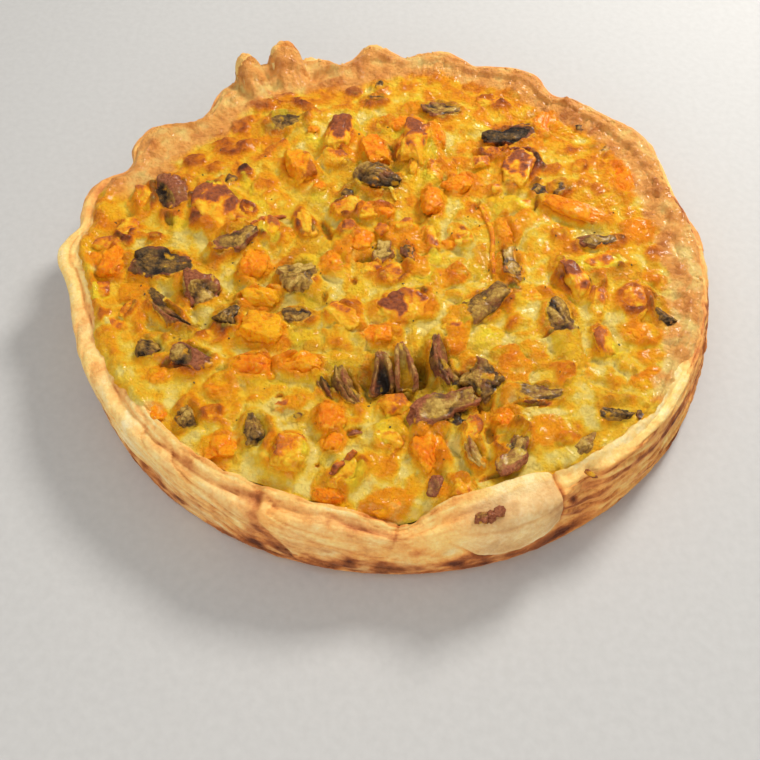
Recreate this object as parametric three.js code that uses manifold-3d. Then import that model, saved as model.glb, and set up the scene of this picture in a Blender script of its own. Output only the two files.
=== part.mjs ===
// A round vegetable tart, about 245 mm across, standing as it does once it is out of its tin.
// It is a shell of folded pastry, the baked egg custard that fills the shell, and the pieces of
// mushroom, squash and cheese that show at the top.
// Millimetres, +Z up. The origin is the middle of the flat underside.

import * as THREE from "three";
import { SimplexNoise } from "three/addons/math/SimplexNoise.js";
import { mergeVertices } from "three/addons/utils/BufferGeometryUtils.js";
import Module from "manifold-3d";

const wasm = await Module();
wasm.setup();

// ---- Driving dimensions -------------------------------------------------------------------------

const BASE_RADIUS = 121.5; // the flat underside
const WALL_RADIUS = 123; // the tin's inner wall
const CORNER_HEIGHT = 3.5; // the rounded foot of the wall
const FLOOR = 5; // thickness of the pastry under the filling
const INNER_RADIUS = 115; // the filling at the floor
const INNER_CORNER = 3; // how far the floor's edge is drawn in
const CREST_RADIUS = 121.5; // mean radius of the rim's outer crest
const CREST_SHIFT = -2.5; // how far the crest as a whole lies along +X
const CREST_HEIGHT = 27; // its mean height
const CREST_TILT = 2; // how much higher it is at the back than in the middle
const RIM_WIDTH = 9.8; // from the crest in to the lip, where the filling starts
const LIP_HEIGHT = 28.3;
const CUSTARD_LEVEL = 30; // top of the custard away from the rim
const CUSTARD_DROP = 1.2; // how far the custard stays under the lip
const TUCK = 0.4; // share of the rim's width that the untrimmed custard reaches into
const RELIEF = 1.3; // height of the custard's swells
const RELIEF_LENGTH = 26; // and their distance apart
const GAP = 0.4; // clearance between neighbouring pieces
const CRUST_SEGMENTS = 120; // facets round the crust
const CUSTARD_SEGMENTS = 48; // facets round the custard before it is trimmed

const PASTRY = { color: 0xe2b06a, roughness: 0.75, metalness: 0 };
const CUSTARD = { color: 0xe0a83c, roughness: 0.45, metalness: 0 };
const MUSHROOM = { color: 0x6d4f3a, roughness: 0.4, metalness: 0 };
const SQUASH = { color: 0xe27a1c, roughness: 0.45, metalness: 0 };
const CHEESE = { color: 0xeeb94c, roughness: 0.5, metalness: 0 };

// The folds and pleats of the rim. `at` and `span` are in degrees, counter-clockwise from +X.
// `out` and `up` move the crest, `wide` widens the rim, and `lip` lifts the lip.
const FOLDS = [
  { name: "right lobe", at: 0, span: 8, out: 0.5, up: 0, wide: 1.5, lip: 0 },
  { name: "right nick", at: 13, span: 6, out: -2, up: 0, wide: -1, lip: 0 },
  { name: "back right lobe", at: 31, span: 8, out: 5, up: 0.5, wide: 3, lip: 0 },
  { name: "back right nick", at: 52.5, span: 3, out: -4.5, up: -1, wide: -2, lip: 0 },
  { name: "back lobe", at: 60, span: 5, out: 2.5, up: 1, wide: 1, lip: 1 },
  { name: "back nick", at: 71.5, span: 3, out: -2.5, up: -0.5, wide: -1, lip: 0 },
  { name: "far back lobe", at: 79, span: 4, out: 1.5, up: 1, wide: 1, lip: 1 },
  { name: "far back nick", at: 87.5, span: 2.5, out: -3, up: -1, wide: -1, lip: 0 },
  { name: "back tip", at: 94, span: 3, out: 2.5, up: 3.5, wide: 1, lip: 0 },
  { name: "back dip", at: 101, span: 3, out: -5.5, up: -2, wide: -2, lip: 0 },
  { name: "first peak", at: 111.5, span: 4, out: 3, up: 11.5, wide: 3, lip: 1 },
  { name: "second peak", at: 120.5, span: 3.4, out: 3, up: 11.5, wide: 3, lip: 1 },
  { name: "left back tuck", at: 137, span: 6, out: -10, up: -1.5, wide: -3.5, lip: 0 },
  { name: "left back lobe", at: 147, span: 4, out: 1.5, up: 1.5, wide: 2.5, lip: 0.5 },
  { name: "left nick", at: 157.5, span: 3, out: -6.5, up: 0, wide: -3, lip: 0 },
  { name: "upper left lobe", at: 167, span: 5.5, out: 4, up: 0.5, wide: 2, lip: 0 },
  { name: "left notch", at: 174, span: 2.5, out: -1, up: -0.5, wide: 0, lip: 0 },
  { name: "left lobe", at: 181, span: 5.5, out: 6, up: 1.5, wide: 3.5, lip: 0 },
  { name: "broad ribbon", at: 205, span: 17, out: 0, up: 0.5, wide: 4.5, lip: 0 },
  { name: "front left fold", at: 233, span: 6, out: -0.5, up: 0, wide: -0.5, lip: 0 },
  { name: "tuck", at: 247, span: 4, out: 0.8, up: 0.5, wide: 1.5, lip: 0 },
  { name: "overlap", at: 270, span: 6, out: -0.5, up: -4, wide: -3.5, lip: -5.5 },
  { name: "flap", at: 289, span: 8, out: 0.8, up: 2, wide: 2.5, lip: 1.5 },
  { name: "flap end", at: 302, span: 2.8, out: -2, up: -2.5, wide: -2, lip: 0 },
  { name: "front right lip", at: 318, span: 14, out: 0.5, up: 2, wide: -3.5, lip: 1 },
  { name: "right fold", at: 341, span: 5, out: -0.5, up: 0, wide: -1.5, lip: 0 },
];

// The toppings. x and y give the middle, size is [length, width, height], turn is the direction of
// the length in degrees from +X, and show is the share of the height that stands above the custard.
const MUSHROOM_CHUNKS = [
  { x: -89, y: 29, size: [23, 15.5, 12], turn: 102, show: 0.5 },
  { x: -72.5, y: -23.5, size: [18, 12, 10], turn: -30, show: 0.5 },
  { x: -61, y: -35.5, size: [13, 11, 9], turn: 75, show: 0.45 },
  { x: -86.5, y: -49.5, size: [14.5, 12, 9], turn: 70, show: 0.45 },
  { x: -70.5, y: -54.5, size: [17.5, 9, 8], turn: -12, show: 0.45 },
  { x: -37, y: -14.5, size: [17.5, 15.5, 12], turn: 90, show: 0.5 },
  { x: -35, y: -35, size: [14.5, 7.5, 8], turn: -3, show: 0.4 },
  { x: -6.5, y: 35.5, size: [22, 15.5, 11], turn: 0, show: 0.5 },
  { x: -45.5, y: 71, size: [20, 12, 7], turn: 8, show: 0.25 },
  { x: 33.5, y: -29.5, size: [28.5, 14, 10], turn: 42, show: 0.5 },
  { x: 59, y: -35, size: [22, 14, 11], turn: 97, show: 0.5 },
  { x: 96, y: -31, size: [16.5, 9.5, 8], turn: 108, show: 0.35 },
  { x: 30.5, y: -63, size: [17.5, 14, 10], turn: -42, show: 0.5 },
  { x: 63.5, y: -87.2, size: [13.5, 7.5, 7], turn: 44, show: 0.5 },
  { x: 73, y: -76.5, size: [21, 11, 10], turn: 27, show: 0.45 },
  { x: -70, y: -77, size: [13, 10, 8], turn: 118, show: 0.45 },
  { x: -47, y: -84, size: [17.5, 10.5, 8], turn: 97, show: 0.4 },
];

const MUSHROOM_SLICES = [
  { x: -88, y: -10.5, size: [25.5, 15, 6], turn: -14, show: 0.65 },
  { x: -82.5, y: -34, size: [22, 7.5, 6], turn: -40, show: 0.55 },
  { x: -60, y: 1.5, size: [22, 11, 5], turn: 40, show: 0.65 },
  { x: 48.5, y: 61.5, size: [22.5, 11.5, 5], turn: 190, show: 0.6 },
  { x: 58, y: 29.5, size: [12, 7.5, 6], turn: 75, show: 0.4 },
  { x: 78.5, y: 1.5, size: [18.5, 6.5, 5], turn: 8, show: 0.5 },
  { x: 44, y: -10, size: [18.5, 8, 5], turn: 97, show: 0.5 },
  { x: -4.5, y: -4.5, size: [13, 9, 6], turn: 80, show: 0.4 },
  { x: -17, y: -65.5, size: [21, 9, 7], turn: 112, show: 0.55 },
  { x: -5, y: -60.5, size: [17.5, 7, 8], turn: 92, show: 0.45 },
  { x: 2.5, y: -59.5, size: [20, 6.5, 8], turn: 98, show: 0.6 },
  { x: 15.5, y: -54.5, size: [23, 8, 7], turn: 100, show: 0.5 },
  { x: 48, y: -69, size: [21, 9, 5], turn: -6, show: 0.4 },
  { x: 15.5, y: -76, size: [25.5, 12, 8], turn: 25, show: 0.65 },
  { x: 38.5, y: -91, size: [21, 10, 5], turn: 62, show: 0.5 },
  { x: 24.5, y: -90.5, size: [15.5, 7, 6], turn: 100, show: 0.5 },
  { x: 21, y: 79, size: [18.5, 12, 6], turn: -6, show: 0.3 },
];

const SQUASH_CUBES = [
  { x: -106.5, y: -9, size: [17, 12, 10], turn: 82, show: 0.4 },
  { x: -53, y: -11.5, size: [16.5, 13, 10], turn: 80, show: 0.45 },
  { x: -49.5, y: -27, size: [15.5, 11.5, 10], turn: 8, show: 0.45 },
  { x: -47.5, y: -42.5, size: [20, 15.5, 10], turn: -12, show: 0.45 },
  { x: -49.5, y: -57.5, size: [16.5, 12, 10], turn: 3, show: 0.45 },
  { x: -33, y: -57, size: [16.5, 11.5, 9], turn: -4, show: 0.4 },
  { x: -38.5, y: 42.5, size: [20, 14.5, 11], turn: 108, show: 0.45 },
  { x: -7.5, y: 53, size: [20, 12, 12], turn: 108, show: 0.5 },
  { x: 14.5, y: 22, size: [18.5, 10, 9], turn: 95, show: 0.45 },
  { x: 26.5, y: 32.5, size: [15.5, 12, 9], turn: 42, show: 0.4 },
  { x: 64, y: 70, size: [16.5, 11.5, 8], turn: 62, show: 0.3 },
  { x: 92.5, y: 36.5, size: [22, 13, 8], turn: 100, show: 0.3 },
  { x: 69.5, y: 17.5, size: [27.5, 10, 9], turn: -25, show: 0.5 },
  { x: -22.5, y: -79, size: [13, 11.5, 10], turn: 95, show: 0.45 },
  { x: -3, y: -109, size: [15.5, 9.5, 9], turn: 15, show: 0.4 },
  { x: 9.5, y: -91.5, size: [16.5, 10.5, 8], turn: 115, show: 0.4 },
];

const CHEESE_LUMPS = [
  { x: -69, y: 17.5, size: [29.5, 21, 14], turn: 118, show: 0.45 },
  { x: -23, y: 61, size: [24, 12, 13], turn: 72, show: 0.45 },
  { x: 9, y: 57, size: [26.5, 13, 13], turn: 78, show: 0.5 },
  { x: 4, y: -30, size: [23, 14.5, 10], turn: 2, show: 0.5 },
  { x: -36.5, y: -92.5, size: [15.5, 13, 12], turn: 90, show: 0.45 },
  { x: -17, y: -100.5, size: [17.5, 9.5, 9], turn: 48, show: 0.45 },
  { x: 66.5, y: -19, size: [20, 10, 10], turn: 118, show: 0.45 },
  { x: 51.5, y: 43, size: [25.5, 15, 9], turn: 72, show: 0.4 },
];

// ---- Shared helpers -----------------------------------------------------------------------------

const TAU = 2 * Math.PI;
const DEGREE = Math.PI / 180;
const mix = THREE.MathUtils.lerp;
const smooth = THREE.MathUtils.smoothstep;

// A small seeded generator, so that the part comes out the same each time.
function seeded(seed) {
  let state = seed;
  return {
    random() {
      state = (state * 1664525 + 1013904223) % 4294967296;
      return state / 4294967296;
    },
  };
}

const swell = new SimplexNoise(seeded(7));

// A bell-shaped weight: 1 where angle is at the fold, and near 0 two spans away. Degrees.
function bell(angle, fold) {
  const away = THREE.MathUtils.euclideanModulo(angle - fold.at + 180, 360) - 180;
  return Math.exp(-((away / fold.span) ** 2));
}

function foldSum(angle, key) {
  return FOLDS.reduce((sum, fold) => sum + fold[key] * bell(angle / DEGREE, fold), 0);
}

function solidOf(geometry) {
  const bare = geometry.clone();
  bare.deleteAttribute("normal");
  bare.deleteAttribute("uv");
  const merged = mergeVertices(bare, 1e-4);
  const mesh = new wasm.Mesh({
    numProp: 3,
    vertProperties: merged.attributes.position.array,
    triVerts: new Uint32Array(merged.index.array),
  });
  return new wasm.Manifold(mesh);
}

function geometryOf(solid) {
  const mesh = solid.getMesh();
  const geometry = new THREE.BufferGeometry();
  geometry.setAttribute("position", new THREE.BufferAttribute(mesh.vertProperties, 3));
  geometry.setIndex(new THREE.BufferAttribute(mesh.triVerts, 1));
  geometry.computeVertexNormals();
  return geometry;
}

// A lathe whose profile changes with the angle. section(angle) lists [radius, height] pairs from
// the axis at the bottom to the axis at the top.
function variedLathe(section, segments) {
  const count = section(0).length;
  const plain = section(0).map(([radius, height]) => new THREE.Vector2(radius, height));
  const geometry = new THREE.LatheGeometry(plain, segments);
  const position = geometry.attributes.position;
  for (let step = 0; step <= segments; step++) {
    const angle = ((step % segments) / segments) * TAU;
    section(angle).forEach(([radius, height], i) => {
      position.setXYZ(step * count + i, radius * Math.cos(angle), radius * Math.sin(angle), height);
    });
  }
  return geometry;
}

// ---- Pastry shell -------------------------------------------------------------------------------

// The rim at one angle: its outer crest and its inner lip.
function rimAt(angle) {
  const back = Math.sin(angle);
  const crestRadius = CREST_RADIUS + CREST_SHIFT * Math.cos(angle) + foldSum(angle, "out");
  const width = RIM_WIDTH + foldSum(angle, "wide");
  return {
    width,
    crestRadius,
    crestHeight: CREST_HEIGHT + CREST_TILT * back + foldSum(angle, "up"),
    lipRadius: crestRadius - width,
    lipHeight: LIP_HEIGHT + back + foldSum(angle, "lip"),
  };
}

// The shell's section, with its inner face `extra` nearer to the filling.
function shellSection(angle, extra = 0) {
  const rim = rimAt(angle);
  const ripple = 0.6 * swell.noise(4 * Math.cos(angle), 4 * Math.sin(angle));
  const across = (share) => mix(rim.crestRadius, rim.lipRadius, share);
  const along = (share) => mix(rim.crestHeight, rim.lipHeight, share);
  return [
    [0, 0],
    [BASE_RADIUS, 0],
    [WALL_RADIUS, CORNER_HEIGHT],
    [mix(WALL_RADIUS, rim.crestRadius, 0.4) + ripple, 0.55 * rim.crestHeight],
    [rim.crestRadius, rim.crestHeight - 2],
    [across(0.15), along(0.15) + 0.9],
    [across(0.5), along(0.5) + 1.1],
    [rim.lipRadius - extra, rim.lipHeight],
    [INNER_RADIUS - INNER_CORNER - extra, FLOOR + extra],
    [0, FLOOR + extra],
  ];
}

// ---- Custard filling ----------------------------------------------------------------------------

function custardEdge(angle) {
  const rim = rimAt(angle);
  return { radius: rim.lipRadius + TUCK * rim.width, height: rim.lipHeight - CUSTARD_DROP };
}

function custardTop(x, y) {
  const edge = custardEdge(Math.atan2(y, x));
  const reach = Math.hypot(x, y) / edge.radius;
  const level = CUSTARD_LEVEL + RELIEF * swell.noise(x / RELIEF_LENGTH, y / RELIEF_LENGTH);
  return mix(level, edge.height, smooth(reach, 0.8, 1));
}

function custardSection(angle) {
  const edge = custardEdge(angle);
  const rings = [0.88, 0.7, 0.48, 0.24, 0].map((share) => {
    const radius = share * edge.radius;
    return [radius, custardTop(radius * Math.cos(angle), radius * Math.sin(angle))];
  });
  return [
    [0, 0.5 * FLOOR],
    [INNER_RADIUS, 0.5 * FLOOR],
    [edge.radius, edge.height],
    ...rings,
  ];
}

// ---- Toppings -----------------------------------------------------------------------------------

// A rounded lump one unit long each way. A low power makes it boxy, and rough makes it uneven.
function lump(sides, rows, power, rough, seed) {
  const geometry = new THREE.SphereGeometry(0.5, sides, rows).rotateX(Math.PI / 2);
  const position = geometry.attributes.position;
  const point = new THREE.Vector3();
  for (let i = 0; i < position.count; i++) {
    point.fromBufferAttribute(position, i);
    const knob = 1 + rough * swell.noise3d(2.2 * point.x + seed, 2.2 * point.y, 2.2 * point.z);
    const squared = point.toArray().map((v) => 0.5 * Math.sign(v) * Math.abs(2 * v) ** power);
    point.fromArray(squared).multiplyScalar(knob);
    position.setXYZ(i, point.x, point.y, point.z);
  }
  return geometry;
}

// A mushroom cut from cap to stem, lying flat, one unit long each way: the domed cap is at -X.
function slice() {
  const stemHalf = 0.2;
  const gill = 0.02;
  const outline = new THREE.Shape();
  outline.moveTo(0.5, -stemHalf);
  outline.lineTo(0.5, stemHalf);
  outline.lineTo(gill, stemHalf + 0.06);
  outline.lineTo(-gill, 0.5);
  outline.absellipse(-gill, 0, 0.5 - gill, 0.5, 0.5 * Math.PI, 1.5 * Math.PI, false);
  outline.lineTo(gill, -stemHalf - 0.06);
  const slab = { depth: 1, bevelEnabled: false, curveSegments: 4 };
  return new THREE.ExtrudeGeometry(outline, slab).translate(0, 0, -0.5);
}

// Puts a unit shape in its place, `extra` larger all round.
function place(unit, item, extra) {
  const [length, width, height] = item.size;
  const lift = (item.show - 0.5) * height;
  return unit
    .clone()
    .scale(length + 2 * extra, width + 2 * extra, height + 2 * extra)
    .rotateZ(item.turn * DEGREE)
    .translate(item.x, item.y, custardTop(item.x, item.y) + lift);
}

function toppings(name, items, unitOf, look) {
  return items.map((item, i) => ({
    name: `${name}_${String(i + 1).padStart(2, "0")}`,
    look,
    unit: unitOf(i),
    item,
  }));
}

const allToppings = [
  ...toppings("mushroom", MUSHROOM_CHUNKS, (i) => lump(7, 4, 0.9, 0.25, i), MUSHROOM),
  ...toppings("mushroom_slice", MUSHROOM_SLICES, () => slice(), MUSHROOM),
  ...toppings("squash", SQUASH_CUBES, (i) => lump(8, 3, 0.75, 0.15, 20 + i), SQUASH),
  ...toppings("cheese", CHEESE_LUMPS, (i) => lump(7, 4, 0.8, 0.22, 40 + i), CHEESE),
];

// ---- The tart -----------------------------------------------------------------------------------

function namedMesh(name, geometry, look) {
  const mesh = new THREE.Mesh(geometry, new THREE.MeshStandardMaterial(look));
  mesh.name = name;
  return mesh;
}

const tart = new THREE.Group();
tart.name = "vegetable_tart";
tart.add(namedMesh("crust", variedLathe(shellSection, CRUST_SEGMENTS), PASTRY));

// The custard is trimmed to the shell's inner face, and each topping sits in a pocket of it that
// clears the topping by the gap.
const shellRoom = solidOf(variedLathe((angle) => shellSection(angle, GAP), CRUST_SEGMENTS));
let custard = solidOf(variedLathe(custardSection, CUSTARD_SEGMENTS)).subtract(shellRoom);
for (const { name, look, unit, item } of allToppings) {
  tart.add(namedMesh(name, place(unit, item, 0), look));
  custard = custard.subtract(solidOf(place(unit, item, GAP)));
}
tart.add(namedMesh("filling", geometryOf(custard), CUSTARD));

export default tart;
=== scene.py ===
"""The looks of a round vegetable tart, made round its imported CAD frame.

Sizes are in millimetres until a mesh is made, which is in metres. The tart stands with its
underside's middle at the origin. Angles go counter-clockwise from +X, in degrees.
"""

import math

import bpy
import numpy as np
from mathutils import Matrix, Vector
from mathutils.bvhtree import BVHTree


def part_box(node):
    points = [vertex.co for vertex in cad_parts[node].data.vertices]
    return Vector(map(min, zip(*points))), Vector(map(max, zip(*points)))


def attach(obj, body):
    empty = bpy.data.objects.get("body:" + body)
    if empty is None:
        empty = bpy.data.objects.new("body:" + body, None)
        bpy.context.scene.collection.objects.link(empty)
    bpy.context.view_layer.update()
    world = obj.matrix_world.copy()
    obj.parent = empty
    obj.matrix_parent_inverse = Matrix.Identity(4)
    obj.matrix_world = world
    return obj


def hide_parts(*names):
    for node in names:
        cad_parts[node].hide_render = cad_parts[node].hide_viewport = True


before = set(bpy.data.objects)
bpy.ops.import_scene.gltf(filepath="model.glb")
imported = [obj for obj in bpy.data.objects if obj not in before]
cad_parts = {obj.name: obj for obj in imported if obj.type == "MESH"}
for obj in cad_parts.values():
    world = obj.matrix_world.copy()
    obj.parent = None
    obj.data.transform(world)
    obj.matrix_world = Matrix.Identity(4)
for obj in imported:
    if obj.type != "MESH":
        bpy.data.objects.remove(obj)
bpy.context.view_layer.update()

MM = 0.001

# The rim's radius, roughly, and how long one degree of its outer side is.
RIM_RADIUS = 122
MM_PER_DEGREE = 2.14

# ---- Small mathematics --------------------------------------------------------------------------


class Noise:
    """Seeded gradient noise, about -1 to 1, for arrays of points in millimetres."""

    def __init__(self, seed):
        rng = np.random.default_rng(seed)
        self.order = rng.permutation(256)
        slopes = rng.normal(size=(256, 3))
        self.slopes = slopes / np.linalg.norm(slopes, axis=1, keepdims=True)

    def __call__(self, points, size):
        place = np.asarray(points, float) / size
        cell = np.floor(place).astype(int)
        inside = place - cell
        blend = inside**3 * (inside * (inside * 6 - 15) + 10)
        total = np.zeros(place.shape[:-1])
        for corner in np.ndindex(2, 2, 2):
            lattice = cell + corner
            key = self.order[lattice[..., 0] & 255]
            key = self.order[(key + lattice[..., 1]) & 255]
            key = self.order[(key + lattice[..., 2]) & 255]
            weight = np.prod(np.where(corner, blend, 1 - blend), axis=-1)
            total += weight * np.sum(self.slopes[key] * (inside - corner), axis=-1)
        return 1.6 * total

    def layers(self, points, size, count):
        """Noise at a size and at finer ones, each half as large and half as strong."""
        parts = [self(points, size / 2**i) / 2**i for i in range(count)]
        return sum(parts) / (2 - 0.5 ** (count - 1))


class Dice:
    """Seeded irregular cells, like diced food lying close together."""

    COUNT = 64

    def __init__(self, seed, size):
        rng = np.random.default_rng(seed)
        self.size = size
        self.middle = rng.uniform(0.1, 0.9, size=(self.COUNT, self.COUNT, 2))
        self.own = rng.uniform(0, 1, size=(self.COUNT, self.COUNT, 4))

    def __call__(self, x, y):
        """How far each place lies inside its cell in mm, the offset from the cell's middle in
        cell sizes, and the cell's own four random numbers."""
        place = np.stack([x, y], axis=-1) / self.size
        cell = np.floor(place).astype(int)
        first = np.full(x.shape, np.inf)
        second = np.full(x.shape, np.inf)
        offset = np.zeros_like(place)
        own = np.zeros((*x.shape, 4))
        for step in np.ndindex(3, 3):
            other = cell + step - 1
            i, j = other[..., 0] % self.COUNT, other[..., 1] % self.COUNT
            apart = place - other - self.middle[i, j]
            distance = np.hypot(apart[..., 0], apart[..., 1])
            nearer = distance < first
            second = np.where(nearer, first, np.minimum(second, distance))
            offset = np.where(nearer[..., None], apart, offset)
            own = np.where(nearer[..., None], self.own[i, j], own)
            first = np.where(nearer, distance, first)
        return (second - first) / 2 * self.size, offset, own


def smooth(value, low, high):
    share = np.clip((value - low) / (high - low), 0, 1)
    return share * share * (3 - 2 * share)


def bell(value, middle, span):
    return np.exp(-(((value - middle) / span) ** 2))


def turn_from(angle, middle):
    """The signed angle from middle to angle, in degrees."""
    return (angle - middle + 180) % 360 - 180


def near(angle, middle, span):
    return np.exp(-((turn_from(angle, middle) / span) ** 2))


def between(angle, start, end, soft):
    """1 from the angle start on to the angle end, falling to 0 over soft degrees outside them."""
    middle = start + ((end - start) % 360) / 2
    half = ((end - start) % 360) / 2
    return 1 - smooth(np.abs(turn_from(angle, middle)), half, half + soft)


def turned(x, y, turn):
    """x and y turned counter-clockwise by an angle in radians."""
    cos, sin = math.cos(turn), math.sin(turn)
    return x * cos - y * sin, x * sin + y * cos


def flat_points(x, y, z=0.0):
    return np.stack(np.broadcast_arrays(x, y, z), axis=-1).astype(float)


def ring_points(angle, stretch, across=0.0):
    """Places for noise that runs round the tart without a seam and is drawn out along the rim."""
    turn = np.radians(angle)
    radius = RIM_RADIUS / stretch
    return flat_points(radius * np.cos(turn), radius * np.sin(turn), across)


def folds(seed, points, size, width):
    """1 along the lines where a noise is 0, and less beside them, like creases and pits."""
    return np.exp(-np.abs(Noise(seed).layers(points, size, 2)) / width)


def spline(a, b, c, d, share):
    """A smooth curve through a, b, c and d, at a share of the way from b to c."""
    return b + 0.5 * share * (c - a + share * (2 * a - 5 * b + 4 * c - d + share * (3 * (b - c) + d - a)))


def convolved(grid, kernel):
    for axis in (0, 1):
        grid = np.apply_along_axis(lambda line: np.convolve(line, kernel, "same"), axis, grid)
    return grid


def read_between(grid, row, column):
    """A grid's values at places between its points. After its last row comes its first again."""
    i, j = row.astype(int), column.astype(int)
    down, right = row - i, column - j

    def along(line):
        return grid[line, j] * (1 - right) + grid[line, j + 1] * right

    return along(i % len(grid)) * (1 - down) + along((i + 1) % len(grid)) * down


# ---- Meshes -------------------------------------------------------------------------------------


def grid_quads(rows, columns, wrap=False):
    """The quads of a grid of points, row by row. wrap joins the last column to the first."""
    row = np.arange(rows - 1)[:, None]
    column = np.arange(columns if wrap else columns - 1)[None, :]
    beside = (column + 1) % columns
    quads = [row * columns + column, row * columns + beside]
    quads += [(row + 1) * columns + beside, (row + 1) * columns + column]
    return np.stack(np.broadcast_arrays(*quads), axis=-1).reshape(-1, 4)


def unit_ball(cuts):
    """Directions spread over a sphere, as six grids joined at their edges, and their quads."""
    line = np.tan(np.linspace(-1, 1, cuts + 1) * math.pi / 4)
    across, up = np.meshgrid(line, line, indexing="ij")
    sides = []
    for axis, sign in np.ndindex(3, 2):
        parts = [across, up]
        parts.insert(axis, np.full_like(across, 2 * sign - 1))
        sides.append(np.stack(parts, axis=-1).reshape(-1, 3))
    points = np.concatenate(sides)
    quads = np.concatenate([grid_quads(cuts + 1, cuts + 1) + i * (cuts + 1) ** 2 for i in range(6)])
    keys = np.round(points * 1e5).astype(int)
    _, first, again = np.unique(keys, axis=0, return_index=True, return_inverse=True)
    points = points[first]
    quads = again.reshape(-1)[quads]
    corner = points[quads]
    normal = np.cross(corner[:, 1] - corner[:, 0], corner[:, 2] - corner[:, 0])
    inward = np.sum(corner.mean(axis=1) * normal, axis=1) < 0
    quads[inward] = quads[inward][:, ::-1]
    return points / np.linalg.norm(points, axis=1, keepdims=True), quads


BALLS = {cuts: unit_ball(cuts) for cuts in (3, 8, 16, 22)}


def vertex_normals(points, quads):
    corner = points[quads]
    face = np.cross(corner[:, 2] - corner[:, 0], corner[:, 3] - corner[:, 1])
    normal = np.zeros_like(points)
    for k in range(4):
        np.add.at(normal, quads[:, k], face)
    return normal / np.maximum(np.linalg.norm(normal, axis=1, keepdims=True), 1e-12)


def make_piece(name, points, faces, material, values):
    """A mesh object from points in millimetres, with a number for each point under each name."""
    mesh = bpy.data.meshes.new(name)
    mesh.from_pydata((np.asarray(points) * MM).tolist(), [], [list(face) for face in faces])
    mesh.validate()
    for key, numbers in values.items():
        layer = mesh.attributes.new(key, "FLOAT", "POINT")
        layer.data.foreach_set("value", np.asarray(numbers, np.float32))
    mesh.polygons.foreach_set("use_smooth", [True] * len(mesh.polygons))
    mesh.materials.append(material)
    mesh.update()
    piece = bpy.data.objects.new(name, mesh)
    bpy.context.scene.collection.objects.link(piece)
    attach(piece, "root")
    return piece


def join_shapes(shapes):
    """Several (points, quads, values) as one."""
    points, quads, start = [], [], 0
    for shape_points, shape_quads, _ in shapes:
        points.append(shape_points)
        quads.append(shape_quads + start)
        start += len(shape_points)
    values = {key: np.concatenate([shape[2][key] for shape in shapes]) for key in shapes[0][2]}
    return np.concatenate(points), np.concatenate(quads), values


# ---- Measures taken from the frame --------------------------------------------------------------


def node_points(node):
    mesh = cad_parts[node].data
    flat = np.zeros(len(mesh.vertices) * 3)
    mesh.vertices.foreach_get("co", flat)
    return flat.reshape(-1, 3) / MM


def crust_sections():
    """The CAD crust's section at each of its angles: an array of [radius, height] pairs that goes
    from the foot up the wall, over the rim and down to the floor."""
    points = node_points("crust")
    radius = np.hypot(points[:, 0], points[:, 1])
    points, radius = points[radius > 1], radius[radius > 1]
    angle = np.round(np.degrees(np.arctan2(points[:, 1], points[:, 0])) % 360, 1) % 360
    sections = []
    for value in np.unique(angle):
        here = angle == value
        pairs = np.unique(np.round(np.column_stack([radius[here], points[here, 2]]), 2), axis=0)
        out, up = (pairs - pairs.mean(axis=0)).T
        loop = pairs[np.argsort((np.arctan2(up, out) + math.pi / 2) % math.tau)]
        sections.append(np.roll(loop, -np.argmin(loop[:, 1]), axis=0))
    return np.array(sections)


def round_spline(knots, steps):
    """A smooth closed curve through knots, as steps points between each two."""
    before, after, beyond = (np.roll(knots, shift, axis=0) for shift in (1, -1, -2))
    share = (np.arange(steps) / steps).reshape(1, -1, *[1] * (knots.ndim - 1))
    a, b, c, d = (part[:, None] for part in (before, knots, after, beyond))
    return spline(a, b, c, d, share).reshape(-1, *knots.shape[1:])


class Level:
    """The height of the CAD filling's top between the toppings' pockets."""

    PITCH = 3.0
    # Pockets are deeper than any swell of the top, so they are filled in from round about.
    POCKET_DEPTH = 4.5
    KERNEL = bell(np.arange(-6, 7), 0, 1.8)

    def __init__(self):
        low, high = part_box("filling")
        tree = BVHTree.FromObject(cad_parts["filling"], bpy.context.evaluated_depsgraph_get())
        self.low = np.array(low[:2]) / MM - self.PITCH
        count = np.ceil((np.array(high[:2]) / MM + self.PITCH - self.low) / self.PITCH).astype(int) + 1
        height = np.zeros(count)
        for i, j in np.ndindex(*count):
            x, y = self.low + self.PITCH * np.array([i, j])
            hit = tree.ray_cast(Vector((x * MM, y * MM, 1)), Vector((0, 0, -1)))[0]
            height[i, j] = hit.z / MM if hit else 0
        shallow = np.median(height[height > 0]) - self.POCKET_DEPTH
        weight = (height > shallow).astype(float)
        total, share = convolved(height * weight, self.KERNEL), convolved(weight, self.KERNEL)
        self.height = total / np.maximum(share, 1e-9)

    def __call__(self, x, y):
        place = (flat_points(x, y)[..., :2] - self.low) / self.PITCH
        place = np.clip(place, 0, np.array(self.height.shape) - 1.001)
        return read_between(self.height, place[..., 0], place[..., 1])


SECTIONS = crust_sections()
SECTION_STEP = 360 / len(SECTIONS)
# Which points of a section are the crest's outer edge and the lip, at the rim's inner edge.
CREST, LIP = 3, 6
level = Level()


def at_angle(values, angle):
    """A list of values at the sections' angles, read at other angles."""
    known = np.arange(len(SECTIONS) + 1) * SECTION_STEP
    return np.interp(angle % 360, known, np.append(values, values[0]))


def lip_radius(x, y):
    return at_angle(SECTIONS[:, LIP, 0], np.degrees(np.arctan2(y, x)))


# ---- Toppings' places ---------------------------------------------------------------------------


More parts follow.
